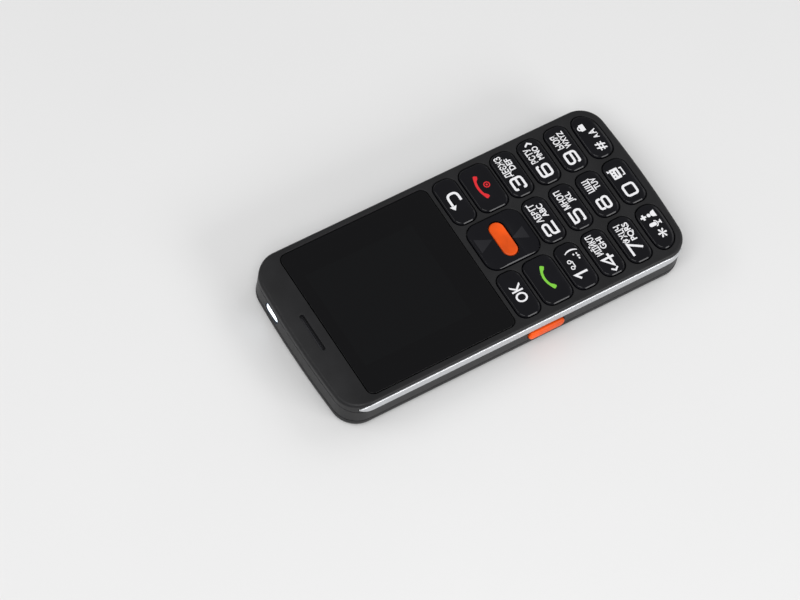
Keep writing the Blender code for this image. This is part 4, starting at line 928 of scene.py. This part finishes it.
def battery_cover():
    """The back shell: a shallow tray with a deep round-over, sound slots and grip grooves."""
    cover = flat_face("back_cover", body_outline(0), COVER_TOP, facing=-1)
    outside = [(0, COVER_TOP - COVER_FILLET)] + round_over(COVER_FILLET, 8)
    build_up(cover, outside, facing=-1)
    depth = COVER_TOP - COVER_FLOOR
    inside = [(COVER_WALL, 0), (0, -(depth - COVER_INNER_FILLET))]
    inside += [(inwards, -rise) for inwards, rise in round_over(COVER_INNER_FILLET, 5)]
    upper = lambda face: face.normal.z > FACE_UP and face.calc_center_median().z > COVER_FLOOR
    build_up(cover, inside, chosen=upper)
    speaker = middle("loudspeaker")
    for x in evenly(SLOTS, SLOT_PITCH):
        outline = rounded_rectangle(SLOT_WIDTH, SLOT_LENGTH, SLOT_WIDTH / 2 - SLOT_ROUND, steps=5)
        mouth = flat_face("sound_slot", moved(outline, speaker.x + x, speaker.y), -OVERRUN)
        through = flare(SLOT_ROUND, 3) + [(0, COVER_FLOOR + OVERRUN)]
        cut(cover, build_up(mouth, [(0, OVERRUN)] + through))
    for y in evenly(GRIPS, GRIP_PITCH):
        outline = rounded_rectangle(GRIP_LENGTH, GRIP_WIDTH, GRIP_WIDTH / 2 - SLOT_ROUND, steps=5)
        mouth = flat_face("grip", moved(outline, 0, GRIP_Y + y), -OVERRUN)
        groove = flare(GRIP_DEPTH / 2, 3) + round_over(GRIP_DEPTH / 2, 3)[:2]
        cut(cover, build_up(mouth, [(0, OVERRUN)] + groove))
    settle(even_shading(cover), "sliding_cover", cover_finish, "cover_plastic", "battery_cover")


def rear_housing():
    """The middle shell with its bay, bosses and wall openings, its loose facets merged and smoothed."""
    shell = placed("middle_shell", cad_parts["rear_housing"].data.copy())
    reshape(shell, bpy.ops.mesh.remove_doubles, threshold=SAME_POINT)
    reshape(shell, bpy.ops.mesh.dissolve_limited, angle_limit=SAME_PLANE_ANGLE)
    even_shading(shell, SHELL_SOFT_ANGLE)
    settle(shell, "phone_body", housing_finish, "housing_plastic", "rear_housing")


def front_housing():
    """The face: one shell with the web round the keys, the window's seat and the falling torch end."""
    front = slab("front_shell", body_outline(0), FRONT_BOTTOM, FACE, round_top=FACE_ROUND)
    score_end(front)
    strip = side_strip(-OVERRUN, BAND_THICKNESS + PLAY, extra=PLAY)
    channel = tapered(slab("channel", strip, FRONT_BOTTOM - PLAY, BAND_TOP + PLAY), play=PLAY)
    cut(front, channel, copy_at(channel, "left_channel", mirror=True))
    cut(front, slab("cavity", body_outline(CAVITY_INSET), FRONT_BOTTOM - OVERRUN, LEDGE_BOTTOM))
    keypad_end = KEYPAD_END + FLANGE_END + PLAY
    below = [(-HALF_WIDTH, -HALF_LENGTH), (HALF_WIDTH, -HALF_LENGTH)]
    below += [(HALF_WIDTH, keypad_end), (-HALF_WIDTH, keypad_end)]
    keypad_room = clipped(body_outline(CAVITY_INSET), below)
    cut(front, slab("keypad_room", keypad_room, LEDGE_BOTTOM - PLAY, WEB_BOTTOM))
    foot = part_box("dome_sheet")[0].z
    for name, x, y in screw_places():
        roof = WEB_BOTTOM if y < KEYPAD_END else LEDGE_BOTTOM
        join(front, slab("boss", ring(BOSS_RADIUS, (x, y), 5), foot, roof + PLAY))
        cut(front, slab("bore", ring(BOSS_BORE, (x, y), 4), foot - OVERRUN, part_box(name)[1].z + PLAY))
    grow = KEY_PLAY + WEB_ROUND
    for name, x, y, length in key_places():
        outline = moved(key_outline(x, y, length, grow, grow), x, y)
        cut(front, opening("key_opening", outline, WEB_BOTTOM - PLAY, WEB_ROUND))
    pad = rounded_rectangle(
        PAD_TOP_WIDTH, PAD_TOP_LENGTH, PAD_CORNER, middle("nav_rocker").xy, grown=grow
    )
    cut(front, opening("pad_opening", pad, WEB_BOTTOM - PLAY, WEB_ROUND))
    grow = PLAY + WINDOW_ROUND
    recess = plan("display_window", WINDOW_CORNER, grow)
    cut(front, opening("window_recess", recess, LEDGE_TOP, WINDOW_ROUND))
    room = plan("lcd_frame", DISPLAY_ROOM_CORNER, PLAY)
    cut(front, slab("display_room", room, LEDGE_BOTTOM - PLAY, LEDGE_TOP + PLAY))
    slot = oval(SLOT_MOUTH_WIDTH, SLOT_MOUTH_LENGTH, WEB_ROUND, (0, SLOT_MOUTH_Y), steps=6)
    cut(front, opening("earpiece_slot", slot, LEDGE_BOTTOM - PLAY, WEB_ROUND))
    pocket = plan("earpiece_grille", SLOT_MOUTH_LENGTH / 2 - PLAY, PLAY, steps=4)
    pocket_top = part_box("earpiece_grille")[1].z + PLAY
    cut(front, slab("grille_pocket", pocket, LEDGE_BOTTOM - PLAY, pocket_top))
    lower_end(front)
    settle(even_shading(front), "phone_body", housing_finish, "housing_plastic", "front_housing")


def side_bands():
    """The silver strips let into both long sides, with a rolled upper edge and pointed ends."""
    outline = side_strip(-BAND_PROUD, BAND_THICKNESS)
    strip = tapered(slab("right_band", outline, FRONT_BOTTOM, BAND_TOP, round_top=BAND_ROUND))
    even_shading(strip)
    left = copy_at(strip, "left_band", mirror=True)
    settle(strip, "phone_body", silver_finish, "silver_trim", "right_side_band")
    settle(left, "phone_body", silver_finish, "silver_trim", "left_side_band")


def display_window():
    """The smoked pane over the display, with a fine round rim."""
    low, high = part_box("display_window")
    window = slab(
        "window_pane", plan("display_window", WINDOW_CORNER), low.z, high.z, round_top=WINDOW_ROUND
    )
    settle(even_shading(window), "phone_body", window_finish(), "display_window", "display_window")


def earpiece_mesh():
    """A thin plate with two rows of fine holes behind the slot."""
    low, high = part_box("earpiece_grille")
    outline = plan("earpiece_grille", SLOT_MOUTH_LENGTH / 2, steps=4)
    plate = slab("earpiece_mesh", outline, low.z, high.z)
    holes = []
    for row, y in enumerate(evenly(2, MESH_PITCH)):
        for x in evenly(MESH_COLUMNS, MESH_PITCH):
            place = (x + (row - 0.5) * MESH_PITCH / 2, SLOT_MOUTH_Y + y)
            holes.append(slab("hole", ring(MESH_HOLE_RADIUS, place, 2), low.z - PLAY, high.z + PLAY))
    cut(plate, merged(holes, "holes"))
    settle(even_shading(plate), "phone_body", mesh_finish, "tinned_steel", "earpiece_grille")


def key_cap(name, outline_of, low, high):
    """A cap with a soft rim and a slight crown, standing on its flange."""
    cap = slab(name, outline_of(0, 0), low + PLAY, high, crown=KEY_RIM + KEY_CROWN)
    join(cap, slab("flange", outline_of(FLANGE_SIDE, FLANGE_END), low, low + FLANGE_THICKNESS))
    return even_shading(cap)


def keys():
    """Each kind of key is modelled once, and copied to its places."""
    low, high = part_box("key_5")[0].z, KEY_TOP
    places = {name: (x, y, length) for name, x, y, length in key_places()}
    patterns = {}
    for name in ("key_5", "call_key", "ok_key", "key_star"):
        x, y, length = places[name]
        centre = (x, y) if name == "key_star" else (0, 0)
        maker = lambda side, end, at=centre, size=length: key_outline(*at, size, side, end)
        patterns[name] = key_cap(f"pattern_{name}", maker, low, high)
    kinds = {"end_key": "call_key", "call_key": "call_key", "ok_key": "ok_key", "back_key": "ok_key"}
    kinds |= {"key_star": "key_star", "key_hash": "key_star"}
    for name, (x, y, _) in places.items():
        pattern = patterns[kinds.get(name, "key_5")]
        cap = copy_at(pattern, name.replace("key", "cap"), (x, y, 0), mirror=name == "key_hash")
        settle(cap, body_of_key(name), key_finish, "key_plastic", name)
    for pattern in patterns.values():
        bpy.data.objects.remove(pattern)
    x, y, _ = places["key_5"]
    for name, side in zip(("left_nub", "right_nub"), NUB_PLACES):
        outline = ring(NUB_RADIUS, (x + side, y), 4)
        nub = slab(name, outline, high - PLAY, high + NUB_HEIGHT, round_top=NUB_HEIGHT)
        settle(even_shading(nub), "button_5", key_finish, "key_plastic")


def body_of_key(name):
    """The moving body that a key belongs to."""
    return "button_" + name.replace("key_", "").replace("_key", "")


def pad_and_bar():
    """The rocker pad, scooped above and below the bar that stands in its middle."""
    low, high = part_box("nav_rocker")
    outline = rounded_rectangle(PAD_TOP_WIDTH, PAD_TOP_LENGTH, PAD_CORNER)
    plate = slab("rocker_pad", outline, low.z + PLAY, high.z, crown=KEY_RIM)
    flange = rounded_rectangle(high.x - low.x, high.y - low.y, PAD_CORNER + FLANGE_SIDE)
    join(plate, slab("flange", flange, low.z, low.z + FLANGE_THICKNESS))
    for side in (-1, 1):
        bpy.ops.object.select_all(action="DESELECT")
        bpy.ops.mesh.primitive_cylinder_add(
            vertices=PAD_SCOOP_SIDES, radius=PAD_SCOOP_RADIUS, depth=2 * HALF_WIDTH,
            rotation=(0, math.pi / 2, 0),
            location=(0, side * PAD_SCOOP_FROM_MIDDLE, high.z + PAD_SCOOP_RADIUS - PAD_SCOOP_DEPTH),
        )
        cut(plate, bpy.context.object)
    mouth = oval(BAR_WIDTH, BAR_LENGTH, KEY_PLAY)
    cut(plate, slab("bar_opening", mouth, low.z - OVERRUN, high.z + OVERRUN))
    room = oval(BAR_WIDTH, BAR_LENGTH, BAR_FLANGE + PLAY)
    cut(plate, slab("bar_flange_room", room, low.z - OVERRUN, low.z + BAR_FLANGE_THICKNESS + PLAY))
    plate.data.transform(Matrix.Translation((*middle("nav_rocker").xy, 0)))
    settle(even_shading(plate), "rocker", pad_finish(), "key_plastic", "nav_rocker")
    low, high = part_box("nav_bar")
    outline = oval(BAR_WIDTH, BAR_LENGTH)
    bar = slab("pad_bar", outline, low.z + WEB_ROUND, high.z, round_top=BAR_ROUND, crown=BAR_CROWN)
    foot = oval(BAR_WIDTH, BAR_LENGTH, BAR_FLANGE)
    join(bar, slab("bar_foot", foot, low.z, low.z + BAR_FLANGE_THICKNESS))
    bar.data.transform(Matrix.Translation((*middle("nav_bar").xy, 0)))
    settle(even_shading(bar), "bar", orange_finish, "orange_plastic", "nav_bar")


def side_key():
    """The orange key in the left wall, held from behind by a thin plate that is longer than the key."""
    _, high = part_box("side_key")
    centre, reach = middle("side_key"), extent("side_key")
    outline = rounded_rectangle(reach.y, reach.z, PLAY, steps=3)
    plate = slab("side_plate", outline, 0, SIDE_KEY_EAR_THICKNESS)
    outline = rounded_rectangle(SIDE_KEY_LENGTH, reach.z, SIDE_KEY_CORNER)
    cap = slab("side_cap", outline, PLAY, reach.x, round_top=SIDE_KEY_ROUND, crown=SIDE_KEY_CROWN)
    join(cap, plate)
    turned(cap, (0, -1, 0), (0, 0, 1), (-1, 0, 0), (high.x, centre.y, centre.z))
    settle(even_shading(cap), "side_button", orange_finish, "orange_plastic", "side_key")


def torch():
    """The lens in the torch end, a domed oval with a rounded rim."""
    low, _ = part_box("torch_lens")
    centre, reach = middle("torch_lens"), extent("torch_lens")
    lens = slab("oval_lens", oval(reach.x, reach.z), 0, reach.y, round_top=LENS_ROUND, crown=LENS_DOME)
    turned(lens, (-1, 0, 0), (0, 0, 1), (0, 1, 0), (centre.x, low.y, centre.z))
    settle(even_shading(lens), "phone_body", torch_lens_finish(), "clear_lens", "torch_lens")


def rounded_path(corners, radius, closed=False, sharp=()):
    """Points along a line whose corners are rounded, apart from those numbered as sharp."""
    points = []
    count = len(corners)
    for number, corner in enumerate(corners):
        if number in sharp or not radius or (not closed and number in (0, count - 1)):
            points.append(Vector(corner))
            continue
        here = Vector(corner)
        before = Vector(corners[number - 1]) - here
        after = Vector(corners[(number + 1) % count]) - here
        reach = min(radius, before.length / 2, after.length / 2)
        start, end = here + before.normalized() * reach, here + after.normalized() * reach
        for step in range(STROKE_STEPS + 1):
            share = step / STROKE_STEPS
            points.append(start.lerp(here, share).lerp(here.lerp(end, share), share))
    return points


def ribbon(points, widths, closed=False):
    """The outline of a stroke along points, or its outer and inner outlines where the stroke is a ring."""
    sides = ([], [])
    count = len(points)
    for number, here in enumerate(points):
        before = points[number - 1] if closed or number else here
        after = points[(number + 1) % count] if closed or number < count - 1 else here
        arriving = (here - before).normalized() if here != before else (after - here).normalized()
        leaving = (after - here).normalized() if after != here else arriving
        along = (arriving + leaving).normalized()
        half = widths[number] / 2 / max(along.dot(leaving), 0.5)
        across = Vector((-along.y, along.x))
        sides[0].append(tuple(here + across * half))
        sides[1].append(tuple(here - across * half))
    return [sides[0], sides[1]] if closed else [sides[0] + sides[1][::-1]]


def stroke(corners, width, radius=0.0, closed=False, sharp=()):
    points = rounded_path(corners, radius, closed, sharp)
    return ribbon(points, [width] * len(points), closed)


def disc(x, y, radius, steps=20):
    return arc(x, y, radius, 0, 2 * math.pi * (1 - 1 / steps), steps - 1)


# Each digit's lines on a grid of half widths and half heights; a closed line ends where it starts
DIGITS = {
    "0": (((-1, -1), (1, -1), (1, 1), (-1, 1), (-1, -1)),),
    "1": (((-0.62, 0.38), (0.22, 1.08), (0.22, -1.2)),),
    "2": (((-1, 0.42), (-1, 1), (1, 1), (1, 0.02), (-1, 0.02), (-1, -1), (1.19, -1)),),
    "3": (
        ((-1, 0.5), (-1, 1), (1, 1), (1, -1), (-1, -1), (-1, -0.5)),
        ((-0.45, 0), (0.80, 0)),
    ),
    "4": (((0.5, -1.2), (0.5, 0.95), (-1, -0.42), (0.305, -0.42)), ((0.695, -0.42), (1.2, -0.42))),
    "5": (((1.1, 1), (-1, 1), (-1, 0.16), (1, 0.16), (1, -1), (-1, -1), (-1, -0.6)),),
    "6": (((1, 0.6), (1, 1), (-1, 1), (-1, -1), (1, -1), (1, 0.14), (-0.80, 0.14)),),
    "7": (((-1.19, 1), (1, 1), (-0.35, -1.2)),),
    "8": (
        ((-1, -1), (1, -1), (1, 0.04), (-1, 0.04), (-1, -1)),
        ((-0.88, 0.25), (-0.88, 1), (0.88, 1), (0.88, 0.25)),
    ),
    "9": (((-1, -0.6), (-1, -1), (1, -1), (1, 1), (-1, 1), (-1, -0.14), (0.80, -0.14)),),
}
SHARP_CORNERS = {"1": (1,), "2": (5,), "4": (1, 2), "5": (1,), "7": (1,)}

# Letters beside each digit in an upper and a lower row, with where each starts and ends across the key, and
# the level and height of the two rows
LETTERS = {
    "1": ((".,:", 0.0014, 0.0038), (")", 0.0044, 0.0055)),
    "2": (("АБВГҐ", -0.0007, 0.0066), ("ABC", 0.0003, 0.0052)),
    "3": (("ДЕЄЖЗ", -0.0009, 0.0070), ("DEF", 0.0009, 0.0053)),
    "4": (("ИІЇЙКЛ", -0.0007, 0.0068), ("GHI", 0.0008, 0.0050)),
    "5": (("МНОП", -0.0005, 0.0064), ("JKL", 0.0010, 0.0047)),
    "6": (("РСТУ", -0.0003, 0.0053), ("MNO", 0.0000, 0.0050)),
    "7": (("ФХЦЧ", -0.0010, 0.0058), ("PQRS", -0.0009, 0.0056)),
    "8": (("ШЩ", 0.0010, 0.0057), ("TUV", 0.0013, 0.0054)),
    "9": (("ЬЮЯ", 0.0002, 0.0053), ("WXYZ", -0.0004, 0.0059)),
}
LETTER_ROWS = ((0.0014, 0.0021), (-0.0011, 0.0019))
KEY_1_ROWS = ((-0.0013, 0.0022), (-0.0004, 0.0032))


def digit_outlines(digit, x):
    """A squared digit with rounded corners, drawn with one width of pen."""
    outlines = []
    for line in DIGITS[digit]:
        closed = line[0] == line[-1]
        corners = line[:-1] if closed else line
        scaled = [(x + px * DIGIT_HALF_WIDTH, DIGIT_RISE + py * DIGIT_HALF_HEIGHT) for px, py in corners]
        outlines += stroke(scaled, DIGIT_STROKE, DIGIT_CORNER, closed, SHARP_CORNERS.get(digit, ()))
    return outlines


def drawn(name, outlines):
    """A thin flat shape from outlines, with the inner ones left open."""
    curve = bpy.data.curves.new(name, "CURVE")
    curve.dimensions = "2D"
    curve.fill_mode = "BOTH"
    curve.extrude = PRINT_HALF_THICKNESS
    for outline in outlines:
        spline = curve.splines.new("POLY")
        spline.points.add(len(outline) - 1)
        for point, (x, y) in zip(spline.points, outline):
            point.co = (x, y, 0, 1)
        spline.use_cyclic_u = True
    mark = placed(name, curve)
    choose(mark)
    bpy.ops.object.convert(target="MESH")
    return mark


def lettering(text, start, end, level, height):
    """A word made as wide as its place and as tall as its height of capitals."""
    bpy.ops.object.select_all(action="DESELECT")
    bpy.ops.object.text_add()
    word = bpy.context.object
    word.data.body = text
    word.data.size = height / CAP_SHARE
    word.data.offset = LETTER_WEIGHT
    word.data.extrude = PRINT_HALF_THICKNESS
    word.data.resolution_u = 4
    bpy.ops.object.convert(target="MESH")
    word = bpy.context.object
    across = [vertex.co.x for vertex in word.data.vertices]
    widen = (end - start) / (max(across) - min(across))
    shift = Matrix.Translation((start - min(across) * widen, level - height / 2, 0))
    word.data.transform(shift @ Matrix.Diagonal((widen, 1, 1, 1)))
    return word


def key_print(key, ink, outlines, *words):
    """Prints signs and words on a key, all placed from the key's middle."""
    x, y, _ = next(place for name, *place in key_places() if name == key)
    marks = [drawn("signs", outlines)] if outlines else []
    marks += [lettering(*word) for word in words]
    printed = merged(marks, key.replace("key", "print"))
    printed.data.transform(Matrix.Translation((x, y, KEY_TOP + PRINT_ABOVE - PRINT_HALF_THICKNESS)))
    settle(printed, body_of_key(key), ink)


def shifted(outlines, x, y):
    return [moved(outline, x, y) for outline in outlines]


def voicemail_mark():
    """Two spools on a line of tape."""
    left, right = (stroke(disc(x, 0, 0.00055), 0.00032, closed=True) for x in (-0.0011, 0.0011))
    return left + right + stroke([(-0.0011, -0.00089), (0.0011, -0.00089)], 0.00032)


def microphone_mark():
    """A microphone in its cup, on a stand with a foot."""
    body = [rounded_rectangle(0.0013, 0.0025, 0.00064, (0, 0.0008), steps=6)]
    cup = stroke(arc(0, 0.0002, 0.00105, math.pi * 1.05, math.pi * 1.95, 12), 0.00036)
    stand = stroke([(0, -0.0011), (0, -0.0017)], 0.0005)
    return body + cup + stand + stroke([(-0.0007, -0.0019), (0.0007, -0.0019)], 0.0004)


def person_mark():
    """A head and shoulders under a plus sign."""
    shoulders = [(-0.0012, -0.0020), (0.0012, -0.0020), (0.0009, -0.0008)]
    shoulders += [(0.0004, -0.0004), (-0.0004, -0.0004), (-0.0009, -0.0008)]
    arm, thick = 0.00095, 0.00033
    plus, quarter = [], [(-arm, -thick), (-thick, -thick), (-thick, -arm)]
    for _ in range(4):
        plus += moved(quarter, 0, 0.0022)
        quarter = [(-y, x) for x, y in quarter]
    return [shoulders, disc(0, 0.0003, 0.00062), plus]


def keyboard_mark():
    """A small keyboard with a hook on its corner and a cup below."""
    board = [rounded_rectangle(0.0038, 0.0028, 0.0003, steps=3)]
    board += [disc(x, 0.0006, 0.00027, 8) for x in (-0.0010, 0, 0.0010)]
    board.append(rounded_rectangle(0.0020, 0.0004, 0.0001, (0, -0.0005), steps=2))
    board += stroke([(0.0013, 0.0015), (0.0013, 0.0020), (0.0019, 0.0020)], 0.0004)
    cup = [(-0.0013, -0.0019), (-0.0013, -0.0026), (0.0013, -0.0026), (0.0013, -0.0019)]
    return board + stroke(cup, 0.0004)


def padlock_mark():
    """A closed padlock."""
    shackle = stroke(arc(0, 0.0003, 0.00065, 0, math.pi, 10), 0.0004)
    return [rounded_rectangle(0.0024, 0.0016, 0.0002, (0, -0.0005), steps=3)] + shackle


def handset_mark(bow):
    """A lifted handset: a bow that thickens and turns in at its ear and its mouth."""
    points, widths = [], []
    for number in range(HANDSET_STEPS + 1):
        share = 2 * number / HANDSET_STEPS - 1
        end = min(max((abs(share) - 0.55) / 0.3, 0), 1)
        swell = end * end * (3 - 2 * end)
        tip = 0.72 if number in (0, HANDSET_STEPS) else 1.0
        points.append(Vector((-share * 0.0041, bow * (0.5 - share**2) - 0.00022 * swell)))
        widths.append((0.00080 + 0.00055 * swell) * tip)
    return ribbon(points, widths)


def back_mark():
    """An arrow that turns back on itself."""
    path = [(-0.0016, 0.0015), (0.0026, 0.0015), (0.0026, -0.0020), (-0.0006, -0.0020)]
    return stroke(path, 0.0008, 0.0017) + [[(-0.0031, 0.0015), (-0.0015, 0.0003), (-0.0015, 0.0027)]]


def printed_marks():
    """Every key's digit, letters and small signs."""
    signs = {
        "1": shifted(voicemail_mark(), 0.0007, 0.0014),
        "4": stroke([(-0.0062, 0.0011), (-0.0071, 0), (-0.0062, -0.0011)], 0.00055),
        "6": stroke([(0.0060, 0.0012), (0.0069, 0), (0.0060, -0.0012)], 0.00055),
    }
    for digit, words in LETTERS.items():
        outlines = digit_outlines(digit, -0.0034 if digit in "147" else -0.0038) + signs.get(digit, [])
        rows = KEY_1_ROWS if digit == "1" else LETTER_ROWS
        key_print(f"key_{digit}", white_ink, outlines, *((*word, *row) for word, row in zip(words, rows)))
    star_signs = shifted(microphone_mark(), 0.0009, 0) + shifted(person_mark(), 0.0042, 0)
    key_print("key_star", white_ink, star_signs, ("*", -0.0044, -0.0013, -0.0012, 0.0045))
    zero_signs = digit_outlines("0", -0.0035) + shifted(keyboard_mark(), 0.0032, 0.0012)
    key_print("key_0", white_ink, zero_signs)
    hash_words = (
        ("#", -0.0060, -0.0029, 0, 0.0031), ("A", -0.0015, -0.0001, -0.0009, 0.0018),
        ("A", 0.0001, 0.0020, -0.0006, 0.0024),
    )
    key_print("key_hash", white_ink, shifted(padlock_mark(), 0.0037, 0.0019), *hash_words)
    key_print("ok_key", white_ink, [], ("OK", -0.0033, 0.0033, 0, 0.0037))
    key_print("back_key", white_ink, back_mark())
    key_print("call_key", green_ink, shifted(handset_mark(0.0014), 0.0005, 0.0002))
    power = stroke(disc(0, 0, 0.0009, 18), 0.00034, closed=True) + [disc(0, 0, 0.00035, 12)]
    end_signs = shifted(handset_mark(0.0011), 0.0003, 0.0012) + shifted(power, 0.0003, -0.0013)
    key_print("end_key", red_ink, end_signs)


def finish_inner_parts():
    """Gives each part inside the phone the finish of what it is made of."""
    finishes = {
        "main_board": board_finish(), "battery": battery_finish(), "antenna": antenna_finish(),
        "loudspeaker": loudspeaker_finish(), "lcd_panel": display_glass_finish(),
        "dome_sheet": dome_finish(), "keypad_mat": rubber_finish(), "torch_led": torch_led_finish(),
        "battery_contact_block": contact_finish(),
    }
    steel = ("lcd_frame", "usb_socket", "shield", "holder", "motor")
    for name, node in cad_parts.items():
        if node.hide_render:
            continue
        finish = finishes.get(name, component_finish)
        if name.startswith("screw_"):
            finish = screw_finish
        elif name not in finishes and any(word in name for word in steel):
            finish = steel_finish
        for place in node.material_slots:
            place.material = finish


def studio():
    """A pale floor, soft lamps and a camera that looks down over the phone's torch end."""
    bpy.ops.object.select_all(action="DESELECT")
    bpy.ops.mesh.primitive_plane_add(size=FLOOR_SIZE, location=(0, 0, -FLOOR_DROP))
    floor = bpy.context.object
    floor.name = "floor"
    pale = Finish("pale_floor", (0.78, 0.78, 0.78), 0.7)
    patches = pale.noise(0.15, detail=3)
    tint = pale.mix((0.76, 0.76, 0.76), (0.80, 0.80, 0.80), patches)
    floor.data.materials.append(pale.paint(base_color=tint))
    for name, place, size, power in LAMPS:
        lamp = bpy.data.lights.new(name, "AREA")
        lamp.shape = "RECTANGLE"
        lamp.size, lamp.size_y = size
        lamp.energy = power
        holder = placed(name, lamp)
        holder.location = place
        holder.rotation_euler = (-Vector(place)).to_track_quat("-Z", "Y").to_euler()
    world = bpy.data.worlds.new("studio")
    world.use_nodes = True
    sky = world.node_tree.nodes["Background"]
    sky.inputs["Color"].default_value = (1, 1, 1, 1)
    sky.inputs["Strength"].default_value = SKY_STRENGTH
    bpy.context.scene.world = world
    camera = bpy.data.cameras.new("camera")
    camera.lens = LENS_LENGTH
    camera.sensor_width = SENSOR_WIDTH
    camera.clip_end = 100
    view = Matrix.Translation(CAMERA_AIM)
    tilt = math.pi / 2 - CAMERA_ELEVATION
    for angle, axis in ((CAMERA_AZIMUTH, "Z"), (tilt, "X"), (CAMERA_ROLL, "Z")):
        view @= Matrix.Rotation(angle, 4, axis)
    holder = placed("camera", camera)
    holder.matrix_world = view @ Matrix.Translation((0, 0, CAMERA_DISTANCE))
    bpy.context.scene.camera = holder
    bpy.context.scene.view_settings.view_transform = "Standard"


studio()
battery_cover()
rear_housing()
front_housing()
side_bands()
display_window()
earpiece_mesh()
keys()
pad_and_bar()
side_key()
torch()
printed_marks()
finish_inner_parts()
